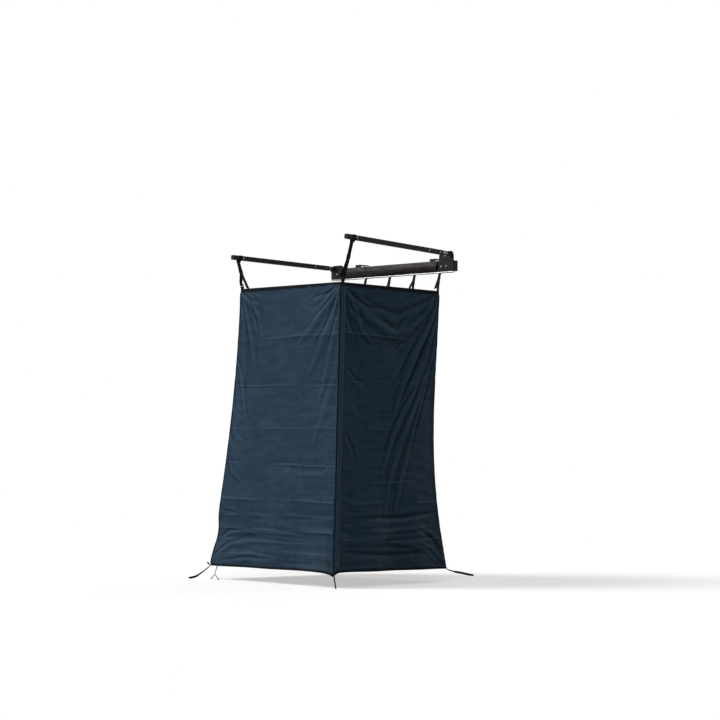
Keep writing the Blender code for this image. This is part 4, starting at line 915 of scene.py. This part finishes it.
def cloth_depth(name, u, v):
    """How far the cloth stands out from the flat wall, and how plain its creases show."""
    number = list(WALLS).index(name)
    cloth = ZIP_WALL if name == "rear_wall" else PLAIN_WALL
    x, y = u * WALL_SPAN, v * ROOM_HEIGHT

    def held(first, last, top):
        return ramp(u, 0, first) * ramp(1 - u, *last) * ramp(v, *top)

    depth = BILLOW * np.sin(np.pi * u) * np.sin(np.pi * np.clip(v, 0, 1)) ** 0.8
    depth += FLUTE * ramp(v, 0.6, 1.0) * np.sin(2 * np.pi * (2.5 * u + 0.2 * number))
    depth += 0.0050 * waves(x, y, number, 1.6, 0.9) * ramp(v, 0.05, 0.3)
    depth = depth * held(0.07, cloth["billow_hold"], (0.0125, 0.045))
    folds = pulled_folds(number, cloth, x, y) * held(0.03, cloth["fold_hold"], (0.0125, 0.030))
    creases, shown, gap = crease_lines(number, cloth["creases"], x, y)
    small = creases * ramp(v, 0.05, 0.1) + crumples_at(number, cloth["roughness"], x, y, u, v)
    small_hold = held(0.02, cloth["small_hold"], (0.0135, 0.030))
    return depth + folds + small_hold * small, shown * small_hold, gap


def flat_wall(name, u, v):
    """The wall's smooth surface between its corners, and its outward direction."""
    first, last = WALLS[name]
    start, end = corner_edge(first, v), corner_edge(last, v)
    share = np.asarray(u)[..., None]
    flat = start * (1 - share) + end * share
    along = end - start
    outward = unit(np.stack([along[..., 1], -along[..., 0], 0 * along[..., 0]], -1))
    middle = (ROOM_OUT_Y + ROOM_IN_Y) / 2
    inside = outward[..., 0] * flat[..., 0] + outward[..., 1] * (flat[..., 1] - middle)
    outward = outward * np.where(inside < 0, -1.0, 1.0)[..., None]
    flat[..., 2] += bottom_rise(name, u, v)
    return flat, outward


def wall_surface(name, u, v):
    """Points of the hung cloth, its depths, and how plain its creases show."""
    flat, outward = flat_wall(name, u, v)
    depth, shown, gap = cloth_depth(name, u, v)
    depth = depth * (BACK_SHARE if name == "back_wall" else 1.0)
    return flat + outward * depth[..., None], depth, shown, gap


def wall_width(name, v):
    first, last = WALLS[name]
    return np.linalg.norm(corner_edge(last, v) - corner_edge(first, v), axis=-1)


def hollows(depth):
    """Minus one in the valleys to one on the ridges of a grid of depths."""
    blurred = depth
    for _ in range(HOLLOW_BLURS):
        for axis in (0, 1):
            pad = [(1, 1) if k == axis else (0, 0) for k in (0, 1)]
            wide = np.pad(blurred, pad, mode="edge")
            count = depth.shape[axis]
            blurred = (wide.take(range(2, count + 2), axis) + wide.take(range(count), axis) + blurred) / 3
    return np.clip((depth - blurred) / HOLLOW_DEPTH, -1, 1)


def make_wall(name, columns, rows):
    first_v = TOP_HEM * CLOTH_IN_HEM / ROOM_HEIGHT
    last_v = 1 - BOTTOM_HEM * CLOTH_IN_HEM / ROOM_HEIGHT

    def shares(across, down):
        v = first_v + (last_v - first_v) * down
        margin = CLOTH_SEAM / wall_width(name, v)
        return margin + (1 - 2 * margin) * across, v

    masks = {}

    def place(across, down):
        points, depth, masks["crease"], masks["crease_gap"] = wall_surface(name, *shares(across, down))
        # The hollow mask paints shade into the valleys and highlight onto the ridges of the cloth's colour.
        masks["hollow"] = hollows(depth.reshape(rows + 1, columns + 1)).ravel()
        return points

    def measure(across, down):
        u, v = shares(across, down)
        return np.stack([(u - 0.5) * wall_width(name, v), v * ROOM_HEIGHT], -1)

    data = grid_mesh(name + "_cloth", columns, rows, place, measure)
    for mask, values in masks.items():
        data.attributes.new(mask, "FLOAT", "POINT").data.foreach_set("value", values)
    _, outward = flat_wall(name, np.array([0.5]), np.array([0.5]))
    face_outward(data, Vector(outward[0]))
    wall = add_piece(data, NAVY, "navy_cloth", nodes=[name])
    thicken(wall, CLOTH_THICKNESS)
    crumples(wall)
    return wall


def declare_walls(walls, hems):
    for name, wall in walls.items():
        top, bottom = (float(wall_width(name, v)) for v in (0.0, 1.0))
        wide, length = max(top, bottom), ROOM_HEIGHT * CLOTH_CUT
        extra = hems if name == "outer_wall" else []


# Hems, seams and zip


def ring_path(v, steps, on_cloth):
    """A path right round the room at one height, with outward directions."""
    points, outward = [], []
    for name in WALLS:
        margin = SEAM / float(wall_width(name, v))
        u = margin + (1 - 2 * margin) * np.linspace(0, 1, steps)
        level = np.full(steps, v)
        surface = wall_surface(name, u, level)[0]
        flat, out = flat_wall(name, u, level)
        points.append(surface if on_cloth else flat)
        outward.append(out)
    return np.concatenate(points), np.concatenate(outward)


def make_hem(edge, v, height, steps):
    """Tape right round the room with two rows of stitches, straight at the top, wavy at the bottom."""
    points, outward = ring_path(v, steps, edge == "bottom")
    if edge == "top":
        points[:, 2] = ROOM_TOP - height / 2
    distance = along_path(points)[1]
    points = points + outward * (HEM_RIPPLE * waves(distance, 0 * distance, 77, 14, 1))[:, None]
    section = flat_section(height, HEM_THICKNESS, sides=16, roundness=0.4)
    data = band_mesh(f"{edge}_hem_band", points, (0, 0, 1), section, closed=True)
    hem = add_piece(data, HEM_TAPE, "black_hem_tape", nodes=[f"{edge}_hem"])
    off = outward * (HEM_THICKNESS / 2 + STITCH_OFF / 2)
    inset = height / 2 - HEM_STITCH_INSET
    rows = [(points + off + (0, 0, side * inset), outward) for side in (-1, 1)]
    stitches = add_stitches(f"{edge}_hem_band_stitches", rows)
    crumples(hem, stitches)
    return [hem, stitches]


def make_binding(corner):
    """Folded tape over a corner seam, with a row of stitches on each side."""
    v = np.linspace(BINDING_ENDS[0] / ROOM_HEIGHT, 1 - BINDING_ENDS[1] / ROOM_HEIGHT, 150)
    sign_x = 1 if corner in ("near", "rear") else -1
    sign_y = -1 if corner in ("near", "front") else 1
    out = np.array((sign_x, sign_y, 0)) / math.sqrt(2)
    side = np.array((sign_x, -sign_y, 0)) / math.sqrt(2)
    drop = v * ROOM_HEIGHT
    points = corner_edge(corner, v) + out * (0.0006 * waves(drop, 0 * drop, 61, 9, 1))[:, None]
    points = points + side * (0.0005 * waves(drop, 0 * drop, 62, 7, 1))[:, None]
    section = flat_section(BINDING_WIDTH, BINDING_THICKNESS, sides=14, roundness=0.6)
    data = band_mesh(f"seam_binding_{corner}", points, out, section)
    binding = add_piece(data, HEM_TAPE, "black_hem_tape", nodes=[f"corner_binding_{corner}"])
    rows = [(points + side * s * 0.0018 + out * 0.0006, side * s) for s in (-1, 1)]
    crumples(binding, add_stitches(f"seam_stitches_{corner}", rows))


def zip_line(count):
    """The middle of the zip on the rear wall, with its across and outward directions."""
    ends, toward = [], []
    for v in (ZIP_ENDS[0] / ROOM_HEIGHT, 1 - ZIP_ENDS[1] / ROOM_HEIGHT):
        step = unit(corner_edge("rear", v) - corner_edge("near", v))
        ends.append(corner_edge("near", v) + step * ZIP_FROM_CORNER)
        toward.append(step)
    across = unit(toward[0] + toward[1])
    outward = unit(np.array((across[1], -across[0], 0)))
    outward = outward if outward[0] > 0 else -outward
    share = np.linspace(0, 1, count)[:, None]
    return ends[0] * (1 - share) + ends[1] * share, across, outward


def zip_teeth(points, across, outward):
    """Coils to either side of the zip's middle, in turn."""
    length = np.linalg.norm(points[-1] - points[0])
    down = (points[-1] - points[0]) / length
    off = CLOTH_THICKNESS / 2 + ZIP_TAPE + ZIP_OFF_WALL + TOOTH_OFF
    directions = (across, np.cross(outward, across), outward)
    for k in range(int(length / TOOTH_PITCH)):
        aside = across * (1 if k % 2 else -1) * TOOTH_ASIDE
        spot = points[0] + down * (k + 0.5) * TOOTH_PITCH + aside + outward * off
        yield Vector(spot), directions, TOOTH


def make_zip():
    """Tape, a stitched welt on each side of the coil, and the closed coil."""
    points, across, outward = zip_line(360)
    base = points + outward * (CLOTH_THICKNESS / 2 + ZIP_TAPE / 2 + ZIP_OFF_WALL)
    tape = band_mesh("zip_tape_band", base, across, flat_section(ZIP_WIDTH, ZIP_TAPE, 12, 0.35))
    pieces = [add_piece(tape, NAVY_TAPE, "black_hem_tape", nodes=["zip_tape"])]
    section = flat_section(WELT_WIDTH, WELT_THICKNESS, 12, 0.5)
    rows = []
    for label, side in (("corner", -1), ("inner", 1)):
        middle = base + across * side * WELT_ASIDE + outward * WELT_OFF
        wander = 0.0004 * waves(points[:, 2], 0 * points[:, 2], 71 + side, 8, 1)
        welt = band_mesh(f"zip_welt_{label}", middle + across * wander[:, None], across, section)
        pieces.append(add_piece(welt, PLACKET, "navy_cloth"))
        for edge in (-WELT_STITCH, WELT_STITCH):
            rows.append((middle + across * edge + outward * WELT_THICKNESS / 2, outward))
    pieces.append(add_stitches("zip_stitches", rows))
    teeth = small_blocks("zip_teeth", zip_teeth(points, across, outward))
    pieces.append(add_piece(teeth, COIL, "black_plastic"))
    crumples(*pieces)


def make_slider():
    """Slider body with its crown and a rounded pull, on the zip's straight line."""
    points, across, outward = zip_line(2)
    down = unit(points[1] - points[0])
    off = SLIDER_OFF + ZIP_TAPE + ZIP_OFF_WALL + GAP
    face = points[0] + (points[1] - points[0]) * ZIP_REST + outward * off
    turn = Matrix((across, down, outward)).transposed().to_4x4()
    shape = bmesh.new()
    for size, middle, taper, radius in SLIDER_BLOCKS:
        made = bmesh.ops.create_cube(shape, size=1.0)["verts"]
        for vert in made:
            narrow = taper if vert.co.y > 0 else 1.0
            vert.co = Vector((vert.co.x * size[0] * narrow, vert.co.y * size[1], vert.co.z * size[2]))
            vert.co += Vector(middle)
        rims = list({edge for vert in made for edge in vert.link_edges})
        bmesh.ops.bevel(shape, geom=rims, offset=radius, segments=3, profile=0.5, affect="EDGES", material=-1)
    bmesh.ops.transform(shape, matrix=Matrix.Translation(Vector(face)) @ turn, verts=shape.verts)
    bmesh.ops.recalc_face_normals(shape, faces=shape.faces)
    data = to_mesh(shape, "zip_slider_body")
    data.shade_smooth()
    data.set_sharp_from_angle(angle=math.radians(40))
    crumples(add_piece(data, DARK_ZINC, "zinc_steel", "zip_slide", ["zip_slider"]))


# Webbing


def box_stitch(centre, along, across, outward, length, width):
    """Rows of a sewn box with a cross, as used where webbing joins webbing."""
    centre, along, across, outward = (Vector(x) for x in (centre, along, across, outward))
    a, b = along * length / 2, across * width / 2
    corners = [centre + a + b, centre + a - b, centre - a - b, centre - a + b]
    ends = [(i, (i + 1) % 4) for i in range(4)] + [(0, 2), (1, 3)]
    return [(filled([corners[i], corners[j]], FINE_STEP), outward) for i, j in ends]


def make_strap(name, points, across, nodes, body="rail", size=(STRAP_WIDTH, STRAP_THICKNESS), closed=False):
    data = band_mesh(name, points, across, flat_section(*size, 14, 0.35), closed=closed)
    return add_piece(data, WEBBING, "black_webbing", body, nodes)


def round_ring():
    """How far a strap's middle lies from the middle of the ring's wire."""
    return RING_WIRE / 2 + GAP * 2 + STRAP_THICKNESS / 2


def make_hanging_strap(label):
    """The loop on the arm, and the lower strap with its tail. Gives the ring's middle and the way down."""
    side, pivot_y, arm_z, rise_deg = ARMS[label]
    rise = math.radians(rise_deg)
    reach = STRAP_ON_ARM * math.cos(rise)
    top = Vector((side * PIVOT_X, pivot_y - reach, arm_z + STRAP_ON_ARM * math.sin(rise)))
    out_x = ROOM_HALF_X + HEM_THICKNESS / 2 + GAP + STRAP_THICKNESS + GAP / 2
    bar = Vector((side * out_x, ROOM_OUT_Y + STRAP_WIDTH / 2 + RING_FROM_CORNER, ROOM_TOP + RING_ABOVE_HEM))
    down = Vector((bar.x - top.x, 0, bar.z - top.z)).normalized()
    ring = bar - down * RING_HEIGHT / 2
    out = Vector((-down.z, 0, down.x)) * side
    out = -out if out.x * side < 0 else out
    middle = top + (ring - top) * ADJUSTER_SHARE
    body, flat = f"{label}_arm", (0, 1, 0)

    def spot(normal, along):
        return middle + out * normal + down * along

    off = ADJUSTER_DEPTH / 2 + GAP + STRAP_THICKNESS / 2
    fold = ADJUSTER_BAR / 2 + GAP + STRAP_THICKNESS / 2
    past_bar = ADJUSTER_PITCH + ADJUSTER_BAR / 2

    play = STRAP_WIDTH / 2 * math.sin(rise) + GAP * 2 + STRAP_THICKNESS / 2
    w, h = ARM_HALF[0] + play, ARM_HALF[1] + play
    around = [top + Vector((x * side, 0, z)) for x, z in ((-w, 0), (-w, h), (w, h), (w, -h))]
    waist = (middle - top).length - LOOP_WAIST
    turn = fold + ADJUSTER_SLACK
    lower = [spot(off, -waist), spot(off, -turn), spot(-off, -turn), spot(-off, -waist)]
    loop = filled(rounded([*around, *lower, around[0]], 0.0030, 6), STRAP_STEP)[:-1]
    loop_piece = make_strap(f"{label}_loop_strap", loop, flat, [f"{label}_strap_loop"], body, closed=True)

    wire = round_ring()
    ring_bar = ring - down * RING_HEIGHT / 2
    small = [ring_bar + out * n + down * (d + RING_SLACK) for n, d in arc(wire, 0, 180, 12)]
    close, leave = ring_bar - out * wire - down * 0.006, ring_bar + out * wire - down * 0.013
    climb = [spot(off, past_bar + 0.006), spot(off, -fold), spot(-off, -fold), spot(-off, past_bar)]
    free = TAIL_LENGTH - 2 * ADJUSTER_PITCH
    tail = [spot(-off - TAIL_LEAN * lean, past_bar + free * share) for share, lean in TAIL_CURVE]
    tail = smooth_route(tail, FINE_STEP)
    route = filled(rounded([close, *reversed(small), leave, *climb], 0.0022, 5), STRAP_STEP) + tail[1:]
    drop = make_strap(f"{label}_lower_strap", route, flat, [f"{label}_drop_strap"], body)

    end = tail[-1]
    ahead = (end - tail[-3]).normalized()
    face = ahead.cross(Vector(flat)).normalized()
    fold_back = [end - ahead * 0.016 + face * 0.0018, end + face * 0.0017, end + ahead * 0.0008]
    size = (STRAP_WIDTH * 0.99, STRAP_THICKNESS)
    hem_end = make_strap(f"{label}_tail_end", filled(fold_back, FINE_STEP), flat, [], body, size)

    near_ring = ring_bar + out * (wire + STRAP_THICKNESS / 2 + STITCH_OFF * 2) - down * 0.012
    sewn = spot(off + STRAP_THICKNESS / 2 + STITCH_OFF, -ADJUSTER_PITCH - 0.030)
    rows = box_stitch(near_ring, down, flat, out, 0.010, 0.018)
    rows += box_stitch(sewn, down, flat, out, 0.014, 0.018)
    stitches = add_stitches(f"{label}_strap_stitches", rows, body, **BOX_STITCH)
    for piece in (loop_piece, drop, hem_end, stitches, NODES[f"{label}_adjuster"], NODES[f"{label}_ring"]):
        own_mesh(piece)
    return ring, down


def make_corner_tab(label, ring, down):
    """Webbing sewn to the top corner, round the ring's lower bar."""
    side = ARMS[label][0]
    bar = ring + down * (RING_HEIGHT / 2)
    around = arc(round_ring(), 0, 180, 12)
    over = [Vector((bar.x + side * x, bar.y, bar.z + RING_SLACK + z)) for x, z in around]
    inner_x = side * (ROOM_HALF_X + HEM_THICKNESS / 2 + GAP + STRAP_THICKNESS / 2)
    outer_x = inner_x + side * (STRAP_THICKNESS + GAP)
    bottom, waist = ROOM_TOP - TAB_DROP, bar.z - 0.006
    path = [Vector((outer_x, ring.y, z)) for z in (bottom, waist)]
    path += over + [Vector((inner_x, ring.y, z)) for z in (waist, bottom)]
    tab = make_strap(f"top_tab_{label}", filled(path, FINE_STEP), (0, 1, 0), [f"corner_tab_{label}"])
    centre = (outer_x + side * (STRAP_THICKNESS / 2 + STITCH_OFF), ring.y, ROOM_TOP - 0.012)
    rows = box_stitch(centre, (0, 0, 1), (0, 1, 0), (side, 0, 0), 0.015, 0.018)
    crumples(tab, add_stitches(f"top_tab_stitches_{label}", rows, **BOX_STITCH))


def make_rail_strap(number, x, lean):
    """A strap folded over a bead in the track, with a free tail and a leg sewn to the top hem."""
    ahead = Vector((0, math.cos(TRACK_FACING), math.sin(TRACK_FACING)))
    aside = Vector((0, -math.sin(TRACK_FACING), math.cos(TRACK_FACING)))
    aside = -aside if aside.y > 0 else aside
    centre = TRACK + Vector((x, 0, 0))

    def spot(forward, outward):
        return centre + ahead * forward + aside * outward

    def hanging(lean_share, out_share, drop_share, past=0.0):
        y = TRACK.y - HANGER_OUT * out_share - past
        return Vector((x + lean * lean_share, y, ROOM_TOP + HANGER_DROP * drop_share))

    clear = TRACK_RADIUS + HANGER_THICKNESS * 2
    parting = clear + HANGER_DROP * 0.05
    hem_y = ROOM_IN_Y + HEM_THICKNESS / 2 + GAP + HANGER_THICKNESS / 2
    tail = [hanging(2.0, 1.0, 0.11, 0.002), hanging(1.4, 0.86, 0.24), hanging(1.0, 0.66, 0.40)]
    tail = smooth_route([*tail, hanging(0.0, 0.34, 0.63), spot(parting, HANGER_NECK * 2)], 0.005)
    leg = [
        spot(parting, -HANGER_NECK),
        Vector((x, hem_y + HANGER_THICKNESS, ROOM_TOP + HANGER_DROP * 0.25)),
        Vector((x, hem_y, ROOM_TOP + HANGER_DROP * 0.04)),
        Vector((x, hem_y, ROOM_TOP - TOP_HEM)),
    ]
    bead = [spot(f, o) for f, o in arc(HANGER_BEAD, 30, 330, 14)]
    into = [spot(clear, HANGER_NECK), spot(0.0035, HANGER_NECK)]
    back = [spot(0.0035, -HANGER_NECK), spot(clear, -HANGER_NECK)]
    path = filled(tail + into + bead + back + rounded(leg, 0.02, 6), STRAP_STEP)
    size = (HANGER_WIDTH, HANGER_THICKNESS)
    make_strap(f"hanger_{number}", path, (1, 0, 0), [f"rail_strap_{number}"], size=size)
    rows = []
    for way in (-1, 1):
        sewn = (x, hem_y + way * (HANGER_THICKNESS / 2 + STITCH_OFF), ROOM_TOP - 0.012)
        rows += box_stitch(sewn, (0, 0, 1), (1, 0, 0), (0, way, 0), 0.014, 0.016)
    add_stitches(f"hanger_stitches_{number}", rows, **BOX_STITCH)


# Ground ties: offsets from the bottom corner, with the direction of the strap's width at each point
TIES = {
    "near": (
        ((0.0100, -0.0030, 0.022), (0.98, -0.21, 0)),
        ((0.0125, 0.0000, -0.010), (0.98, -0.21, 0)),
        ((0.0160, 0.0040, -0.040), (0.98, -0.21, 0)),
        ((0.0190, 0.0060, -0.063), (0.98, -0.21, 0)),
        ((0.0230, 0.0040, -0.068), (0.98, -0.21, 0)),
    ),
    "front": (
        ((-0.0230, -0.0040, 0.021), (-0.42, 0.85, 0.33)),
        ((-0.0080, -0.0056, 0.010), (-0.44, 0.86, 0.20)),
        ((0.0050, -0.0066, 0.002), (-0.47, 0.86, 0.0)),
        ((-0.0040, -0.0085, -0.009), (-0.50, 0.85, -0.16)),
        ((-0.0180, -0.0130, -0.021), (-0.45, 0.83, -0.36)),
        ((-0.0353, -0.0300, -0.0407), (-0.42, 0.82, -0.40)),
        ((-0.0514, -0.0460, -0.0573), (-0.30, 0.75, -0.60)),
        ((-0.0675, -0.0620, -0.0720), (-0.05, 0.40, -0.92)),
        ((-0.0865, -0.0800, -0.0800), (0.01, 0.29, -0.95)),
        ((-0.1040, -0.0950, -0.0840), (-0.36, 0.62, -0.70)),
    ),
    "inner": (
        ((-0.004, 0.004, 0.022), (1, 1, 0)),
        ((-0.010, 0.008, -0.020), (1, 1, 0)),
        ((-0.013, 0.009, -0.055), (1, 0.8, 0)),
        ((-0.012, 0.008, -0.083), (1, 0.6, 0)),
    ),
    "rear": (
        ((0.0034, -0.0080, 0.014), (-0.10, 1, 0.10)),
        ((0.0042, -0.0010, 0.001), (-0.45, 0.85, 0.25)),
        ((0.0110, 0.0080, -0.006), (-0.60, 0.72, 0.34)),
        ((0.0434, 0.0180, -0.0145), (-0.55, 0.73, 0.43)),
        ((0.0626, 0.0260, -0.0187), (-0.10, 0.50, 0.86)),
        ((0.1063, 0.0360, -0.0239), (0.10, 0.31, 0.95)),
        ((0.1585, 0.0460, -0.0312), (0.10, 0.31, 0.95)),
        ((0.1940, 0.0520, -0.0352), (-0.44, 0.69, 0.57)),
    ),
}
FRONT_FORK = (
    (
        ((0.0750, -0.0036, 0.012), (0.98, -0.10, 0)),
        ((0.0740, -0.0040, -0.006), (0.98, -0.10, 0)),
        ((0.0640, -0.0060, -0.030), (0.94, -0.34, 0)),
        ((0.0590, -0.0080, -0.051), (0.90, -0.44, 0)),
        ((0.0480, -0.0160, -0.070), (0.90, -0.30, -0.2)),
        ((0.0400, -0.0270, -0.085), (0.90, -0.20, -0.3)),
    ),
    (
        ((0.0600, -0.0098, -0.050), (0.90, -0.44, 0)),
        ((0.0760, -0.0110, -0.066), (0.90, -0.40, 0.2)),
        ((0.0920, -0.0150, -0.078), (0.85, -0.40, 0.3)),
        ((0.1120, -0.0190, -0.085), (0.80, -0.40, 0.4)),
    ),
)
TIE_WIDTH = 0.015
FORK_WIDTH = 0.009
TIE_THICKNESS = 0.0015
TIE_OFF_GROUND = 0.002


def make_tie(name, corner, steps, width, nodes=()):
    """A loose strap through offsets from a bottom corner, which turns its width as it goes."""
    start = Vector(corner_edge(corner, 1.0))
    spots = [start + Vector(offset) for offset, _ in steps]
    for spot in spots:
        spot.z = max(spot.z, GROUND + TIE_OFF_GROUND)
    route = smooth_route(spots, FINE_STEP)
    distance, marks = along_path(route)[1], along_path(spots)[1]
    marks = marks * distance[-1] / marks[-1]
    across = columns_at(distance, marks, np.array([turn for _, turn in steps], float))
    data = band_mesh(name, route, across, flat_section(width, TIE_THICKNESS, 12, 0.35))
    tie = add_piece(data, WEBBING, "black_webbing", nodes=nodes)
    crumples(tie)
    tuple(route[0])


# Rail cover


def make_cover():
    """A sheath over the rail's top and front, with soft dents, two stitched rows and a piped lower edge."""
    top, front = HALF_HEIGHT + COVER_OFF, -RAIL_DEPTH - COVER_OFF
    bulge = front - COVER_BULGE + COVER_OFF
    outline = [
        (0, -0.004, top),
        (0, -0.018, top + 0.0015),
        (0, -RAIL_DEPTH + 0.001, top + 0.001),
        (0, front - 0.001, HALF_HEIGHT - 0.003),
        (0, bulge + 0.003, HALF_HEIGHT - 0.016),
        (0, bulge, 0.004),
        (0, bulge + 0.001, -0.016),
        (0, front - 0.0015, -HALF_HEIGHT + 0.0035),
    ]
    route = np.array(smooth_route(outline, 0.002), float)
    tangent, girth = along_path(route)
    normal = np.cross(tangent, (1, 0, 0))
    normal = normal * np.sign(np.sum(normal * (0, -1, 0.3), -1).sum())

    def shares(across, down):
        return (across - 0.5) * 2 * COVER_HALF, down * girth[-1]

    def place(across, down):
        x, here = shares(across, down)
        point, facing = columns_at(here, girth, route), columns_at(here, girth, normal)
        point[:, 0] = x
        middle = ramp(down, 0.28, 0.5) * ramp(1 - down, 0.02, 0.2)
        ends = ramp(COVER_HALF - np.abs(x), 0.0, 0.03)
        dents = 0.0016 * waves(x, here, 5, 5, 9, 12) + 0.0012 * rolls(x, here, 6, 9, 12)
        sag = -0.0012 * np.cos(2 * np.pi * x / 0.213)
        return point + facing * ((dents + sag) * middle * ends)[:, None]

    def measure(across, down):
        return np.stack(shares(across, down), -1)

    data = grid_mesh("rail_cover", 260, 40, place, measure)
    face_outward(data, Vector((0, -1, 0.2)))
    cover = add_piece(data, SHEATH, "cover_sheet", nodes=["storage_cover"])
    thicken(cover, COVER_THICKNESS)
    rows = []
    for inset in COVER_ROWS:
        k = int(np.argmin(np.abs(girth - (girth[-1] - inset))))
        sewn = np.linspace(-COVER_HALF + 0.004, COVER_HALF - 0.004, 200)
        rows.append(([(x, route[k][1] - 0.0010, route[k][2]) for x in sewn], (0, -1, 0)))
    add_stitches("cover_stitches", rows, slot="cover_sheet")
    edge = route[-1]
    piping = [(x, edge[1] + 0.0006, edge[2] - 0.0004) for x in np.linspace(-COVER_HALF, COVER_HALF, 200)]
    tube = band_mesh("cover_piping", piping, (0, 0, 1), flat_section(PIPING, PIPING, 12, 1.0))
    add_piece(tube, HEM_TAPE, "cover_sheet")


# CAD pieces that keep their shape


def finish_cad_pieces():
    for name, node in NODES.items():
        if name == "mounting_rail":
            finish = DARK_RAIL
        elif name == "track_strip":
            finish = BRIGHT
        elif name.startswith("rail_cap") or name.endswith(("adjuster", "end_cap")):
            finish = PLASTIC
        elif "bracket" in name or name.endswith("_tube"):
            finish = POWDER
        elif name.endswith("_ring"):
            finish = DARK_ZINC
        elif "bolt" in name or name.endswith(("_tongue", "_stop")):
            finish = ZINC
        else:
            continue
        for slot in node.material_slots:
            slot.material = finish.material


# Stage


def make_floor():
    """A floor that fades into white. It is paler to the camera than to the light that bounces off it."""
    shape = bmesh.new()
    bmesh.ops.create_grid(shape, x_segments=1, y_segments=1, size=FLOOR_SIZE)
    bmesh.ops.translate(shape, vec=(0, 0, GROUND), verts=shape.verts)
    floor = link("floor", to_mesh(shape, "floor"))
    paint = Finish("floor_paint", FLOOR_SEEN, 0.9, gloss=0.0)
    seen = paint.ray("Camera")
    paint.feed("Base Color", paint.mix(FLOOR_LIT, FLOOR_SEEN, seen))
    x, y, _ = paint.split(paint.spot())
    far = (x**2 + (y - FLOOR_MIDDLE_Y) ** 2) ** 0.5
    fade = (paint.clamp(far, *FLOOR_FADE) * 0.5 + 0.5) * seen
    glow = paint.node("ShaderNodeEmission", {}, {"Color": WHITE, "Strength": 1.0})
    surface = paint.blend(Signal(paint, paint.shader.outputs[0]), glow, fade)
    paint.connect(paint.tree.nodes["Material Output"].inputs["Surface"], surface)
    floor.data.materials.append(paint.material)


def light_studio():
    """White to the camera and in reflections, a faint warm light elsewhere, and three lamps."""
    world = bpy.data.worlds.new("studio")
    world.use_nodes = True
    bpy.context.scene.world = world
    sky = Nodes(world.node_tree)
    sky.tree.nodes.clear()
    colour, strength = AMBIENT
    ambient = sky.node("ShaderNodeBackground", {}, {"Color": colour, "Strength": strength})
    white = sky.node("ShaderNodeBackground", {}, {"Color": WHITE})
    shown = sky.ray("Camera").larger(sky.ray("Glossy").larger(sky.ray("Transmission")))
    output = sky.tree.nodes.new("ShaderNodeOutputWorld")
    sky.connect(output.inputs["Surface"], sky.blend(ambient, white, shown))
    for name, (toward, strength, angle) in LAMPS.items():
        lamp = bpy.data.lights.new(name, "SUN")
        lamp.energy = strength
        lamp.angle = math.radians(angle)
        link(name, lamp).rotation_euler = Vector(toward).to_track_quat("Z", "Y").to_euler()


def place_camera():
    """The camera stands and looks as the photograph's did."""
    lens = bpy.data.cameras.new("camera")
    lens.sensor_width = SENSOR_WIDTH
    lens.lens = CAMERA_LENS
    lens.clip_end = FAR_CLIP
    camera = link("camera", lens)
    level = math.cos(CAMERA_PITCH) / math.sqrt(2)
    look = Vector((-level, level, math.sin(CAMERA_PITCH)))
    turn = look.to_track_quat("-Z", "Y").to_matrix().to_4x4() @ Matrix.Rotation(CAMERA_ROLL, 4, "Z")
    camera.matrix_world = Matrix.Translation(CAMERA_PLACE) @ turn
    bpy.context.scene.camera = camera
    bpy.context.scene.view_settings.view_transform = "Standard"


# Columns and rows of each wall's grid
WALL_GRIDS = {
    "outer_wall": (150, 320),
    "front_wall": (90, 230),
    "back_wall": (90, 230),
    "rear_wall": (150, 320),
}


def main():
    make_floor()
    light_studio()
    place_camera()
    finish_cad_pieces()
    walls = {name: make_wall(name, *grid) for name, grid in WALL_GRIDS.items()}
    hems = make_hem("top", 0.0, TOP_HEM, 60)
    hems += make_hem("bottom", 1 - BOTTOM_HEM / 2 / ROOM_HEIGHT, BOTTOM_HEM, 110)
    declare_walls(walls, hems)
    for corner in CORNERS:
        make_binding(corner)
    make_zip()
    make_slider()
    for label in ARMS:
        make_corner_tab(label, *make_hanging_strap(label))
    reach = ROOM_HALF_X - HANGER_FROM_CORNER
    for number, lean in enumerate(HANGER_LEANS, 1):
        make_rail_strap(number, reach * (number - 3) / 2, lean)
    for corner in CORNERS:
        make_tie(f"tie_{corner}", corner, TIES[corner], TIE_WIDTH, [f"ground_tie_{corner}"])
    for label, steps in zip(("stem", "branch"), FRONT_FORK):
        make_tie(f"forked_tie_{label}", "front", steps, FORK_WIDTH)
    make_cover()


main()
